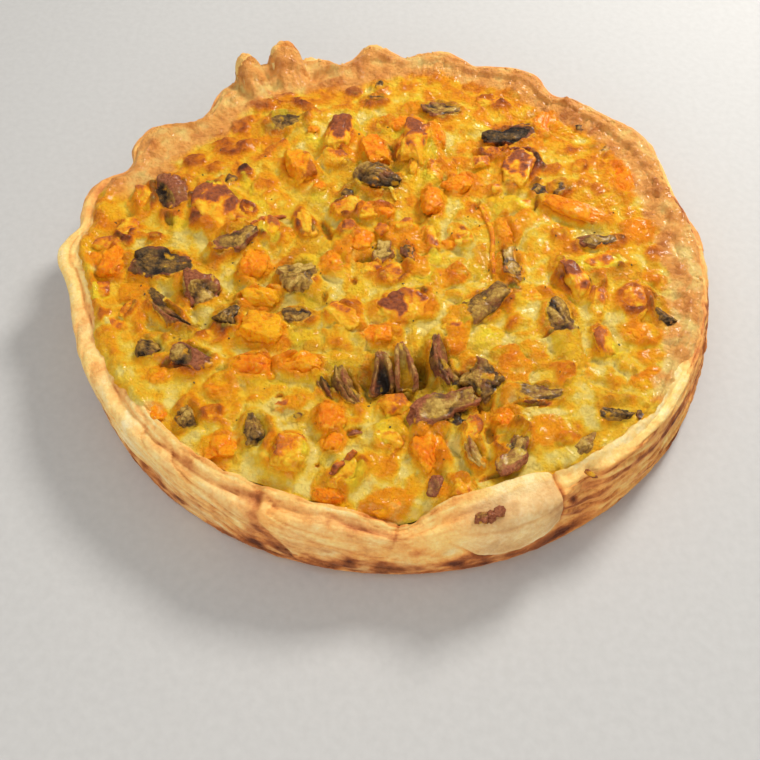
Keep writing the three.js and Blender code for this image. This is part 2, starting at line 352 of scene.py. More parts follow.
class Topping:
    """A topping's place: its middle, its length, width and height, and the turn of its length."""

    def __init__(self, name, middle, size, turn):
        self.name = name
        self.middle = np.array(middle, float)
        self.size = np.array(size, float)
        self.turn = math.radians(turn)

    @classmethod
    def from_node(cls, name):
        """Measures the CAD node. A slice's length points to its narrower half."""
        points = node_points(name)
        flat = points[:, :2]
        spread = flat - flat.mean(axis=0)
        _, axes = np.linalg.eigh(spread.T @ spread)
        along = axes[:, 1]
        across = np.array([-along[1], along[0]])
        if name.startswith("mushroom_slice"):
            share = spread @ along
            wide = np.abs(spread @ across)
            far = share > np.median(share)
            if wide[far].max() > wide[~far].max():
                along, across = -along, -across
        u, v, z = flat @ along, flat @ across, points[:, 2]
        ends = [(part.min(), part.max()) for part in (u, v, z)]
        mid = [(low + high) / 2 for low, high in ends]
        middle = [*(mid[0] * along + mid[1] * across), mid[2]]
        size = [high - low for low, high in ends]
        return cls(name, middle, size, math.degrees(math.atan2(along[1], along[0])))

    def local(self, x, y):
        """The offsets along and across the topping, in half lengths and half widths."""
        along, across = turned(x - self.middle[0], y - self.middle[1], -self.turn)
        return 2 * along / self.size[0], 2 * across / self.size[1]

    def put(self, shape):
        """A shape within one unit each way of its middle, at this topping's size and place."""
        x, y, z = (shape * self.size / 2).T
        return np.column_stack([*turned(x, y, self.turn), z]) + self.middle


def small(shape, *rows):
    """Toppings that aren't nodes, each from its x, y, length, width, height, turn and the share
    of its height that shows."""
    toppings = []
    for x, y, length, width, height, turn, show in rows:
        z = float(level(x, y)) + (show - 0.5) * height
        toppings.append(Topping(shape, (x, y, z), (length, width, height), turn))
    return toppings


NODE_TOPPINGS = [Topping.from_node(n) for n in sorted(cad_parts) if n not in ("crust", "filling")]

SMALL_MUSHROOMS = small(
    "chunk",
    (-67, 34, 9, 7, 6, 60, 0.5), (-81, 31, 14, 7, 6, 100, 0.35), (-76, -45, 12, 9, 6, 10, 0.4),
    (-97, -52, 7, 3, 4, 80, 0.4), (-87, -28, 15, 7, 6, -50, 0.4), (-58, -40, 6, 4, 5, 30, 0.3),
    (-18, 28, 11, 8, 5, 80, 0.35), (5, -6, 12, 6, 6, 95, 0.5), (-6, 96, 9, 7, 5, 80, 0.3),
    (-8, 86, 12, 7, 5, 0, 0.3), (67, 31, 9, 8, 5, 30, 0.35), (57, 31, 8, 5, 6, 70, 0.5),
    (80, 70, 7, 5, 4, 60, 0.4), (87, 55, 9, 8, 4, 20, 0.25), (75, -19, 7, 7, 5, 60, 0.35),
    (86, -15, 12, 7, 4, -20, 0.25),
)
SMALL_MUSHROOMS += small(
    "blade",
    (-25, -66, 13, 6, 6, 112, 0.5),
)
SMALL_MUSHROOMS += small(
    "chunk",
    (18, -64, 9, 7, 6, 30, 0.4), (21, -80, 12, 9, 7, 40, 0.45), (24, -91, 6, 6, 5, 40, 0.5),
    (83, -77, 8, 6, 6, 40, 0.5), (-109, 10, 8, 8, 5, 0, 0.3), (-33, -78, 6, 3, 3, 30, 0.4),
)
BERRIES = small(
    "berry",
    (12, -104, 8, 5, 6, 80, 0.6), (-2, -92, 3, 3, 3, 0, 0.5), (26.0, -116.2, 5.0, 4.6, 4.6, 70, 1.0),
    (29.0, -115.4, 3.8, 3.8, 4.0, 60, 1.0), (31.6, -114.0, 4.4, 3.8, 4.0, 80, 1.0),
    (63, -99, 5, 2.5, 2, -30, 0.7), (-14, -85, 5, 3, 3, 30, 0.4),
)
SMALL_SQUASH = small(
    "cube",
    (-113, -7, 8, 8, 6, 80, 0.4), (95, 9, 13, 12, 6, 80, 0.25), (18, 62, 15, 7, 7, 100, 0.4),
    (5, 71, 15, 9, 6, 0, 0.3), (-6, -43, 14, 8, 7, 0, 0.35), (-21, -88, 10, 8, 7, 80, 0.45),
    (37, -79, 9, 8, 6, 40, 0.4), (-22, -106, 11, 9, 6, -20, 0.35), (-82, -75.5, 8, 7, 5, 130, 0.25),
    (43, 7, 12, 7, 6, 100, 0.3), (82, -5, 5, 4, 4, 0, 0.45), (77, -1, 4, 3, 3, 0, 0.6),
    (88, -42, 14, 9, 6, 0, 0.2), (-82, -61, 8, 6, 5, 20, 0.35), (-60, -66, 11, 9, 6, 0, 0.3),
    (-58, -89, 13, 10, 7, 10, 0.4), (-36, -56, 12, 9, 7, 0, 0.45), (-52, -25, 13, 8, 7, 15, 0.5),
    (-22, -8, 13, 10, 6, 60, 0.35), (-13, 1, 12, 9, 7, 60, 0.45), (-4, 17, 7, 8, 7, 60, 0.55),
    (-34, 66, 5, 4, 4, 20, 0.4), (-30, 32, 6, 5, 4, 20, 0.35), (21, 1, 6, 5, 4, 20, 0.35),
    (12, -88, 16, 8, 7, 115, 0.4),
)
SMALL_CHEESE = small(
    "lump",
    (-99, 26, 16, 9, 9, 100, 0.5), (-57, 16, 8, 7, 8, 60, 0.6), (-48, 8, 14, 9, 7, 115, 0.45),
    (-104, 9, 12, 9, 7, 60, 0.4), (-109, 1, 13, 7, 7, 10, 0.45), (-24, 49, 12, 10, 9, 0, 0.5),
    (-25, 66, 11, 5, 8, 60, 0.5), (8, 42, 11, 4, 7, 80, 0.5), (16, 40, 12, 8, 8, 80, 0.4),
    (-1, -75, 11, 10, 9, 15, 0.5), (-3, -86, 11, 9, 6, 0, 0.4), (74, -28, 15, 6, 7, 75, 0.5),
    (73, -47, 15, 7, 8, 100, 0.5), (77, -9, 18, 11, 6, 0, 0.35), (22, -38, 13, 9, 7, 60, 0.4),
    (35, 46, 10, 7, 7, 10, 0.45), (42, 51, 13, 7, 7, -20, 0.5), (87, -28, 16, 13, 8, 60, 0.5),
    (14, 4, 16, 6, 6, 95, 0.4), (25, 5, 11, 8, 6, -60, 0.45), (-102, -36, 13, 8, 7, 120, 0.4),
    (-97, -32, 9, 4, 6, 60, 0.6), (-109, -22, 9, 7, 6, 80, 0.45), (-35, 12, 17, 7, 6, -70, 0.45),
    (-19, -35, 16, 10, 7, -30, 0.4), (49, -26, 13, 8, 6, 30, 0.35), (4, 10, 8, 6, 6, 0, 0.45),
    (-19, 19, 13, 9, 9, 20, 0.55), (-10, 17, 9, 8, 8, 0, 0.5), (-18, 9, 7, 9, 7, 0, 0.5),
    (-5, 8, 8, 7, 6, 40, 0.45), (0, -15, 13, 9, 7, 30, 0.5), (-9, -12, 9, 6, 6, 20, 0.4),
    (42, 85, 12, 9, 6, 0, 0.3), (76, 43, 9, 6, 5, 60, 0.35), (41, 31, 6, 5, 5, 0, 0.4),
    (51, 22, 8, 7, 5, 0, 0.3), (21, -104, 9, 8, 6, 0, 0.35), (36, -88, 12, 8, 6, 60, 0.4),
    (41, -84, 6, 5, 5, 0, 0.5), (-16, -99, 12, 8, 7, 45, 0.45), (-62, -77, 7, 6, 4, 0, 0.3),
    (-37, -73, 10, 5, 4, 10, 0.35), (-65, -44, 10, 8, 5, 20, 0.35), (-66, -3, 9, 4, 5, -20, 0.4),
    (59, -61, 11, 6, 5, 60, 0.3), (25, -84, 12, 7, 7, 75, 0.55), (-60, 39, 6, 6, 5, 0, 0.4),
)
ALL_TOPPINGS = NODE_TOPPINGS + SMALL_MUSHROOMS + SMALL_SQUASH + SMALL_CHEESE


def kind_of(topping):
    """mushroom, squash or cheese."""
    kinds = {"chunk": "mushroom", "blade": "mushroom", "cube": "squash", "lump": "cheese"}
    return kinds.get(topping.name, topping.name.split("_")[0])


# ---- Materials ----------------------------------------------------------------------------------

CREAM = (1.0, 0.76, 0.19)
LEMON = (1.0, 0.64, 0.046)
YOLK = (1.0, 0.47, 0.010)
GOLD = (0.93, 0.31, 0.004)
TOAST = (0.66, 0.165, 0.006)
RUSSET = (0.35, 0.075, 0.012)
BURNT = (0.09, 0.024, 0.009)
LIGHT_ORANGE = (1.0, 0.48, 0.006)
ORANGE = (1.0, 0.31, 0.002)
DEEP_ORANGE = (0.94, 0.19, 0.001)
INK = (0.022, 0.013, 0.008)


class Shader:
    """A node material, written as short calls that each add one node and give its output."""

    def __init__(self, name):
        self.material = bpy.data.materials.new(name)
        self.material.use_nodes = True
        self.tree = self.material.node_tree
        self.surface = self.tree.nodes["Principled BSDF"]
        self.place = self.tree.nodes.new("ShaderNodeTexCoord").outputs["Object"]

    def feed(self, socket, value):
        if isinstance(value, bpy.types.NodeSocket):
            self.tree.links.new(value, socket)
        elif isinstance(value, tuple) and len(value) == 3:
            socket.default_value = (*value, 1)
        else:
            socket.default_value = value

    def value(self, name):
        node = self.tree.nodes.new("ShaderNodeAttribute")
        node.attribute_name = name
        return node.outputs["Fac"]

    def noise(self, size, detail=3.0, rough=0.5):
        """Noise with lumps of a size in millimetres, from about 0.2 to 0.8."""
        node = self.tree.nodes.new("ShaderNodeTexNoise")
        self.feed(node.inputs["Vector"], self.place)
        node.inputs["Scale"].default_value = 1 / (size * MM)
        node.inputs["Detail"].default_value = detail
        node.inputs["Roughness"].default_value = rough
        return node.outputs["Fac"]

    def sum(self, *terms):
        """Adds up (value, factor) pairs."""
        total = None
        for value, factor in terms:
            node = self.tree.nodes.new("ShaderNodeMath")
            node.operation = "MULTIPLY_ADD"
            self.feed(node.inputs[0], value)
            self.feed(node.inputs[1], factor)
            self.feed(node.inputs[2], 0.0 if total is None else total)
            total = node.outputs[0]
        return total

    def step(self, value, low, high):
        node = self.tree.nodes.new("ShaderNodeMapRange")
        node.interpolation_type = "SMOOTHSTEP"
        self.feed(node.inputs["Value"], value)
        node.inputs["From Min"].default_value = low
        node.inputs["From Max"].default_value = high
        return node.outputs["Result"]

    def share(self, name, low, high, *terms):
        """How far a point's own number, with other terms added, has gone from low to high."""
        return self.step(self.sum((self.value(name), 1.0), *terms), low, high)

    def ramp(self, value, *stops):
        """A colour ramp from (place, colour) pairs."""
        node = self.tree.nodes.new("ShaderNodeValToRGB")
        elements = node.color_ramp.elements
        for i, (at, colour) in enumerate(stops):
            element = elements[i] if i < 2 else elements.new(at)
            element.position = at
            element.color = (*colour, 1)
        self.feed(node.inputs["Fac"], value)
        return node.outputs["Color"]

    def mix(self, share, first, second):
        node = self.tree.nodes.new("ShaderNodeMix")
        node.data_type = "RGBA"
        self.feed(node.inputs[0], share)
        self.feed(node.inputs[6], first)
        self.feed(node.inputs[7], second)
        return node.outputs[2]

    def finish(self, colour, roughness, height, depth, **plain):
        """Links colour, roughness and bump, and sets plain numbers on the surface's own sockets."""
        self.feed(self.surface.inputs["Base Color"], colour)
        self.feed(self.surface.inputs["Roughness"], roughness)
        bump = self.tree.nodes.new("ShaderNodeBump")
        bump.inputs["Strength"].default_value = 1.0
        bump.inputs["Distance"].default_value = depth * MM
        self.feed(bump.inputs["Height"], height)
        self.feed(self.surface.inputs["Normal"], bump.outputs["Normal"])
        for socket, number in plain.items():
            self.surface.inputs[socket.replace("_", " ")].default_value = number
        return self.material


def soft_inside(surface, weight, scale):
    """Light that goes a little way into moist food, further in red than in blue."""
    surface.inputs["Subsurface Weight"].default_value = weight
    surface.inputs["Subsurface Radius"].default_value = (1.0, 0.45, 0.12)
    surface.inputs["Subsurface Scale"].default_value = scale * MM


def toasted(shader, toast):
    return shader.ramp(
        toast,
        (0.0, CREAM),
        (0.16, LEMON),
        (0.32, YOLK),
        (0.48, GOLD),
        (0.66, TOAST),
        (0.84, RUSSET),
        (1.0, BURNT),
    )


def custard_look(shader, mottle, grain):
    """The custard's colour, from the numbers that custard_fields gives each point."""
    noisy = shader.sum((mottle, 0.90), (grain, 0.08), (0.49, -1.0))
    toast = shader.sum((shader.value("toast"), 1.0), (noisy, 1.0))
    colour = toasted(shader, toast)
    lemon = shader.ramp(mottle, (0.35, (1.0, 0.50, 0.004)), (0.65, (1.0, 0.76, 0.040)))
    colour = shader.mix(shader.share("lemon", 0.1, 0.7, (noisy, 1.0)), colour, lemon)
    orange = shader.ramp(mottle, (0.35, DEEP_ORANGE), (0.5, ORANGE), (0.65, LIGHT_ORANGE))
    colour = shader.mix(shader.share("orange", 0.15, 0.75, (noisy, 1.4)), colour, orange)
    # The olive and dark mix below is painted shade: in the custard's valleys, round the mushrooms and in
    # its holes.
    painted_shade_colour = shader.ramp(mottle, (0.35, (0.22, 0.130, 0.004)), (0.65, (0.70, 0.50, 0.030)))
    grey = shader.share("grey", 0.25, 0.95, (noisy, 1.4))
    colour = shader.mix(shader.sum((grey, 0.85)), colour, painted_shade_colour)
    dough = shader.ramp(
        toast,
        (0.1, (1.0, 0.70, 0.22)),
        (0.40, (0.96, 0.43, 0.10)),
        (0.75, (0.60, 0.18, 0.035)),
    )
    colour = shader.mix(shader.share("dough", 0.1, 0.9, (noisy, 1.0)), colour, dough)
    # Fine painted shade in pits and painted highlights over the custard's colour.
    return painted_pit_shade_and_glints(shader, colour, grain)


def painted_pit_shade_and_glints(shader, colour, grain):
    """Fine painted shade in pits and painted highlights on grains."""
    colour = shader.mix(shader.sum((shader.step(grain, 0.40, 0.28), 0.25)), colour, (0.42, 0.16, 0.012))
    return shader.mix(shader.sum((shader.step(grain, 0.58, 0.72), 0.18)), colour, (1.0, 0.78, 0.33))


def mottle_and_grain(shader):
    """The coarse and the fine noise of every moist piece."""
    return shader.noise(7, 5, 0.62), shader.noise(1.5, 6, 0.66)


def food(shader, colour, rough, height, depth, inside, **plain):
    """A moist baked surface, with bumps up to depth mm deep."""
    soft_inside(shader.surface, inside, 2.0)
    return shader.finish(colour, rough, height, depth, Specular_IOR_Level=0.14, **plain)


def custard_material():
    shader = Shader("baked_custard")
    mottle, grain = mottle_and_grain(shader)
    colour = custard_look(shader, mottle, grain)
    rough = shader.sum((grain, 0.9), (0.05, -1.0))
    height = shader.sum((shader.noise(2.6, 6, 0.60), 1.0), (grain, 0.9))
    return food(shader, colour, rough, height, 2.3, 0.04, Coat_Weight=0.14, Coat_Roughness=0.10)


def pastry_material():
    shader = Shader("baked_pastry")
    streak = shader.noise(6, 5, 0.6)
    grain = shader.noise(1.4, 5, 0.62)
    noisy = shader.sum((streak, 0.30), (grain, 0.30), (0.30, -1.0))
    bake = shader.sum((shader.value("bake"), 1.0), (noisy, 1.0))
    plain = shader.ramp(
        bake,
        (0.0, (0.98, 0.82, 0.44)),
        (0.16, (0.97, 0.66, 0.22)),
        (0.34, (0.89, 0.43, 0.112)),
        (0.52, (0.67, 0.24, 0.060)),
        (0.70, (0.38, 0.105, 0.026)),
        (1.0, (0.12, 0.030, 0.012)),
    )
    glazed = shader.ramp(
        bake,
        (0.0, (0.98, 0.74, 0.30)),
        (0.2, (0.96, 0.58, 0.17)),
        (0.4, (0.88, 0.38, 0.085)),
        (0.6, (0.64, 0.19, 0.030)),
        (0.8, (0.34, 0.08, 0.016)),
        (1.0, BURNT),
    )
    greyish = shader.ramp(
        bake,
        (0.0, (0.94, 0.80, 0.50)),
        (0.3, (0.72, 0.45, 0.19)),
        (0.6, (0.46, 0.19, 0.065)),
        (1.0, BURNT),
    )
    colour = shader.mix(shader.value("glaze"), plain, glazed)
    colour = shader.mix(shader.value("thin"), colour, greyish)
    rough = shader.sum((grain, 0.4), (0.34, 1.0))
    crumb = shader.sum((shader.value("glaze"), 0.8), (0.45, 1.0))
    height = shader.sum((shader.sum((shader.noise(2.4, 7, 0.66), 1.0), (grain, 0.6)), crumb))
    return food(shader, colour, rough, height, 1.4, 0.08)


def film(shader, colour, mottle, grain):
    """Lays the baked custard over a piece where it sinks into it."""
    over = shader.share("film", 0.2, 0.8, (grain, 0.8), (0.4, -1.0))
    return shader.mix(over, colour, custard_look(shader, mottle, grain))


def soft_lump(shader, colour, mottle, grain, size):
    """What squash and cheese share: the film of custard, and a glossy surface with bumps of a
    size in mm."""
    colour = film(shader, colour, mottle, grain)
    rough = shader.sum((grain, 0.8), (0.04, -1.0))
    height = shader.sum((shader.noise(size, 8, 0.68), 1.0), (grain, 0.8))
    return food(shader, colour, rough, height, 1.4, 0.12, Coat_Weight=0.12, Coat_Roughness=0.12)


def mushroom_material():
    shader = Shader("roasted_mushroom")
    mottle, grain = mottle_and_grain(shader)
    fleck = shader.noise(1.0, 4, 0.62)
    # The tone number holds each piece's own darkness together with painted shade in creases and low down
    # and painted highlight on bumps.
    tone = shader.sum((shader.value("tone"), 1.0), (grain, 1.0), (fleck, 0.6), (0.8, -1.0))
    colour = shader.ramp(
        tone,
        (0.0, (0.80, 0.53, 0.13)),
        (0.22, (0.57, 0.33, 0.060)),
        (0.42, (0.36, 0.185, 0.036)),
        (0.60, (0.18, 0.095, 0.026)),
        (0.80, (0.075, 0.045, 0.020)),
        (1.0, INK),
    )
    red = shader.share("red", 0.15, 0.9, (grain, 1.0), (0.5, -1.0))
    reddish = shader.ramp(fleck, (0.35, (0.25, 0.062, 0.022)), (0.65, (0.54, 0.18, 0.072)))
    colour = film(shader, shader.mix(red, colour, reddish), mottle, grain)
    rough = shader.sum((grain, 0.9), (0.02, -1.0))
    height = shader.sum((shader.noise(2.2, 8, 0.68), 1.0), (fleck, 0.5))
    return food(shader, colour, rough, height, 2.0, 0.03, Coat_Weight=0.14, Coat_Roughness=0.2)


def squash_material():
    shader = Shader("roasted_squash")
    mottle, grain = mottle_and_grain(shader)
    # The light number holds each piece's own lightness, with painted highlight on its bulges and painted
    # shade in its pits.
    light = shader.sum((shader.value("light"), 0.6), (grain, 0.9), (0.25, -1.0))
    colour = shader.ramp(light, (0.2, DEEP_ORANGE), (0.48, ORANGE), (0.8, LIGHT_ORANGE))
    brown = shader.share("brown", 0.2, 0.8, (grain, 1.2), (0.6, -1.0))
    colour = shader.mix(brown, colour, shader.ramp(grain, (0.35, RUSSET), (0.65, TOAST)))
    # Fine painted shade in pits and painted highlights over the squash's colour.
    return soft_lump(shader, painted_pit_shade_and_glints(shader, colour, grain), mottle, grain, 2.4)


def cheese_material():
    shader = Shader("melted_cheese")
    mottle, grain = mottle_and_grain(shader)
    toast = shader.sum((shader.value("crisp"), 1.0), (grain, 0.7), (0.35, -1.0))
    colour = shader.ramp(
        toast,
        (0.0, (1.0, 0.74, 0.12)),
        (0.15, (1.0, 0.60, 0.03)),
        (0.33, (0.96, 0.39, 0.010)),
        (0.50, (0.82, 0.23, 0.010)),
        (0.66, (0.52, 0.135, 0.030)),
        (0.84, (0.27, 0.070, 0.026)),
        (1.0, BURNT),
    )
    return soft_lump(shader, colour, mottle, grain, 2.6)


def herb_material():
    shader = Shader("dried_herb")
    grain = shader.noise(0.8, 2)
    colour = shader.ramp(grain, (0.35, (0.035, 0.024, 0.006)), (0.7, (0.16, 0.10, 0.02)))
    return shader.finish(colour, 0.5, grain, 0.2)


# ---- Crust --------------------------------------------------------------------------------------

# Steps from one section of the CAD crust to the next, and between the points of one section.
ROUND_STEPS = 10
SECTION_STEPS = (4, 22, 20, 8, 9, 9, 4)

# Dark (or with a minus sign pale) patches of the wall: angle, height, half sizes in degrees and
# mm, how far the patch leans with the height in degrees for each mm, and strength.
WALL_PATCHES = [
    (262.9, 10, 1.8, 2.4, 0.15, 0.52), (259.1, 15, 2.6, 1.6, 0.35, 0.28),
    (267.6, 10, 1.6, 1.8, 0.0, 0.30), (272.6, 7, 1.7, 2.2, -0.2, 0.46),
    (279.5, 8, 3.2, 2.2, -0.4, 0.42), (284.0, 5, 3.0, 1.8, -0.4, 0.34),
    (276.0, 10, 1.6, 3.0, -0.3, -0.22), (286.0, 6, 3.5, 1.6, -0.3, 0.25),
    (248.8, 20, 0.8, 4.0, -0.28, 0.45), (251.1, 11, 1.5, 4.5, -0.28, 0.70),
    (247.6, 9, 1.2, 3.0, -0.1, 0.58), (245.4, 16, 1.3, 5.0, -0.1, -0.30),
    (249.6, 15, 0.5, 3.0, -0.2, -0.20), (298.9, 21, 0.8, 3.5, -0.25, 0.55),
    (302.5, 22, 2.0, 3.0, -0.3, 0.22), (297.8, 12, 1.2, 3.0, -0.2, -0.25),
    (310.0, 22, 4.0, 1.5, -0.2, 0.55), (318.0, 20, 5.0, 1.4, -0.2, 0.40),
    (328.0, 19, 7.0, 1.6, -0.2, 0.35), (305.0, 12, 4.0, 1.6, -0.3, 0.30),
    (232.0, 8, 5.0, 1.9, 0.35, 0.42), (238.5, 13, 4.0, 1.3, 0.45, 0.32),
    (241.5, 18, 3.0, 1.2, 0.45, 0.28), (226.0, 12, 5.0, 1.7, 0.35, 0.40),
    (219.0, 10, 6.0, 1.6, 0.2, 0.32), (208.0, 12, 8.0, 3.0, 0.0, 0.25),
    (184.0, 14, 6.0, 7.0, 0.0, 0.42),
]
# Small browned spots of the rim: angle, mm in from its crest, radius in mm, and strength.
RIM_SPOTS = [
    (165.3, 0.5, 1.7, 0.55),
    (161.0, 3.5, 3.0, 0.25),
    (145.6, 13.0, 1.6, 0.45),
    (149.5, 4.0, 1.5, 0.20),
    (257.5, 5.0, 1.3, 0.30),
    (263.5, 5.5, 1.8, 0.30),
    (200.0, 8.0, 2.0, 0.15),
    (111.5, 0.0, 5.0, 0.22),
    (120.5, 0.0, 5.0, 0.16),
]
# The two rounded tabs at the back left: angle, and half width in degrees.
TABS = [
    (113.4, 3.6),
    (122.0, 2.8),
]
# The radius and height of the tabs' tops.
TAB_TOP = np.array([124.5, 40.0])
# The rim's outline beside the tabs: angles, and its radius and height there.
TAB_FEET = [
    (103.0, 121.8, 30.0),
    (108.0, 121.8, 29.4),
    (112.0, 120.6, 31.4),
    (118.0, 120.6, 33.0),
    (124.5, 120.4, 30.6),
    (130.0, 119.5, 29.6),
]
# The angles that the tabs take up and those of the rim that is shaped with them, each with the
# degrees over which that fades out, and how far below the tabs' feet the shaping starts, in mm.
TABBED = (110.0, 124.5, 2.0)
SHAPED = (105.5, 125.5, 3.0)
SHAPED_DEPTH = 18


def rounded_tabs(curve):
    """Shapes the rim's top into the round outline of the tabs."""
    angle = np.arange(len(curve)) * 360 / len(curve)
    place = np.arange(len(curve))
    crest = np.argmax(curve[..., 1], axis=1)
    tip = curve[place, crest]
    lobe = np.zeros_like(angle)
    for middle, half in TABS:
        lobe = np.maximum(lobe, np.clip(1 - (turn_from(angle, middle) / half) ** 2, 0, 1) ** 0.5)
    at, radius, height = np.array(TAB_FEET).T
    tabbed = between(angle, *TABBED)
    foot_radius = tip[:, 0] + (np.interp(angle, at, radius) - tip[:, 0]) * tabbed
    foot = np.column_stack([foot_radius, np.interp(angle, at, height)])
    outline = foot + (TAB_TOP - foot) * lobe[:, None]
    here = between(angle, *SHAPED)
    share = smooth(curve[..., 1], foot[:, 1:] - SHAPED_DEPTH, tip[:, 1:])
    curve += ((outline - tip) * here[:, None])[:, None] * share[..., None]
    # Nothing near the tabs' tops stands out more than half a millimetre past the outline.
    over = np.clip(curve[..., 0] - outline[:, :1] - 0.5, 0, None)
    curve[..., 0] -= over * tabbed[:, None] * smooth(share, 0.0, 0.6)
    return curve


def dense_sections():
    """The CAD crust's sections as smooth curves, at more angles and with more points, and where
    each point of a curve lies between the CAD section's points."""
    around = round_spline(SECTIONS, ROUND_STEPS)
    knots = [np.full(steps, i) for i, steps in enumerate(SECTION_STEPS)]
    shares = [np.arange(steps) / steps for steps in SECTION_STEPS]
    knot = np.append(np.concatenate(knots), len(SECTION_STEPS))
    share = np.append(np.concatenate(shares), 0.0)
    a, b, c, d = (around[:, np.clip(knot + offset, 0, SECTIONS.shape[1] - 1)] for offset in (-1, 0, 1, 2))
    return rounded_tabs(spline(a, b, c, d, share[None, :, None])), knot + share


class Dough:
    """The places on the smooth loft of the crust, and how far each part stands out from it."""

    def __init__(self):
        self.sections, run = dense_sections()
        self.count, self.length = self.sections.shape[:2]
        shape = (self.count, self.length)
        self.angle = np.broadcast_to((np.arange(self.count) * 360 / self.count)[:, None], shape)
        self.run = np.broadcast_to(run, shape)
        turn = np.radians(self.angle)
        radius, self.height = self.sections[..., 0], self.sections[..., 1]
        self.place = np.stack([radius * np.cos(turn), radius * np.sin(turn), self.height], axis=-1)
        self.arc = turn * RIM_RADIUS
        steps = np.hypot(*np.moveaxis(np.diff(self.sections, axis=1), -1, 0))
        along = np.concatenate([np.zeros((self.count, 1)), np.cumsum(steps, axis=1)], axis=1)
        crest = np.argmax(self.height, axis=1)
        # How many mm a point lies in from the crest; it is negative on the wall.
        self.inward = along - np.take_along_axis(along, crest[:, None], axis=1)
        self.crest = self.height.max(axis=1, keepdims=True)
        self.wall = smooth(self.run, 0.5, 1.1) * (1 - smooth(self.inward, -2.5, -0.5))
        self.rim = smooth(self.inward, -2.5, -0.5) * (1 - smooth(self.run, 6.0, 6.3))
        self.lift = 0.3 * Noise(20).layers(self.place, 9, 3)
        self.bake = 0.09 + 0.17 * self.wall + 0.08 * Noise(21).layers(self.place, 16, 3)
        # How thin and greyish the dough is.
        self.thin = np.zeros(shape)

    def top(self, low, high):
        """1 on the rim and the top of the wall. Down the wall, where inward goes from high to
        low, it fades to 0."""
        return self.rim + self.wall * smooth(self.inward, low, high)

    def ripple(self, seed, stretch, size, across=0.0, count=1):
        """Noise that runs round the tart without a seam and is drawn out along the rim."""
        return Noise(seed).layers(ring_points(self.angle, stretch, across), size, count)

    def add(self, lift, bake=0.0, thin=0.0):
        self.lift = self.lift + lift
        self.bake = self.bake + bake
        self.thin = self.thin + thin

    def sheets(self, across, spacing, depth, seed, where, gap_shade_and_browning=0.25):
        """Thin layers that overlap like shingles. across runs over them in mm. Their gaps are darker,
        partly browning and partly painted shade, and their flat treads a little lighter.
        """
        wander = 0.55 * self.ripple(seed, 7, 5, 0.3 * self.inward)
        count = across / spacing + wander
        share = np.mod(count, 1.0)
        layer = np.floor(count)
        broken = smooth(self.ripple(seed + 1, 3, 6, 9.0 * layer), -0.25, 0.35)
        tread = smooth(share, 0.0, 0.85) * (1 - smooth(share, 0.93, 1.0))
        gap = bell(share, 0.0, 0.07) + bell(share, 1.0, 0.07)
        strength = where * broken
        self.add(depth * strength * (tread - 0.5 - 0.5 * gap), strength * gap_shade_and_browning * (gap - 0.25 * tread))

    def creases(self, across, stretch, size, depth, seed, where, gap_shade_and_browning=0.2):
        """Sharp folds drawn out along the rim, darker along each fold: partly browning, partly painted
        shade.
        """
        fold = folds(seed, ring_points(self.angle, stretch, across), size, 0.09)
        self.add(-depth * where * fold, gap_shade_and_browning * where * fold)


def ribbons(dough):
    """The pale folded ribbon of the left and front rim: thin flat layers that lie along it."""
    angle, inward = dough.angle, dough.inward
    left = between(angle, 172, 281, 6)
    wander = dough.ripple(22, 6, 3)
    flat = 1 - 0.9 * between(angle, 160, 228, 12)
    # A darker groove just under the ribbon's outer edge: a dip in the dough with painted shade in it.
    under = bell(inward, -3.6 + 0.8 * wander, 0.9)
    dough.add(-0.35 * flat * left * under, 0.10 * flat * left * under)
    dough.add(0.35 * flat * left * smooth(inward, -3.2, -2.0) * (1 - smooth(inward, 3, 8)))
    layers = (
        (-4.5, 1.5, 21, 176, 240),
        (-1.5, 1.6, 29, 168, 225),
        (0.8, 0.9, 27, 200, 283),
        (3.2, 1.5, 23, 178, 283),
        (5.6, 1.5, 24, 184, 270),
    )
    for middle, swing, seed, start, end in layers:
        edge = middle + swing * dough.ripple(seed, 9, 3)
        here = between(angle, start, end, 5) * np.maximum(dough.rim, dough.wall * (middle < 0))
        here = here * smooth(dough.ripple(seed + 20, 6, 4), -0.45, 0.0)
        step = 0.30 * np.tanh((inward - edge) / 0.25)
        # Each crack is darker: painted shade, with a little browning.
        shaded_crack = bell(inward, edge, 0.35)
        dough.add(here * (step - 0.28 * shaded_crack), 0.17 * here * shaded_crack)
    thinner = left * dough.top(-9, -3)
    dough.creases(inward, 9, 2.2, 0.35, 25, thinner, 0.15)
    dough.creases(inward + 0.1 * dough.arc, 6, 4.0, 0.35, 28, thinner, 0.13)
    flakes = dough.ripple(62, 2.2, 2.8, inward, 3)
    dough.add(0.3 * thinner * flakes, 0.13 * thinner * flakes)
    lip = bell(dough.run, 5.9, 0.5)
    dough.add(left * lip * (0.3 + 0.9 * dough.ripple(26, 1.4, 6)), 0.05 * left * lip)
    far = between(angle, 176, 222, 12) * (dough.rim + dough.wall)
    near_side = between(angle, 222, 240, 10) * dough.wall
    dough.add(0.0, 0.02 * left * dough.rim - 0.12 * far - 0.10 * near_side)


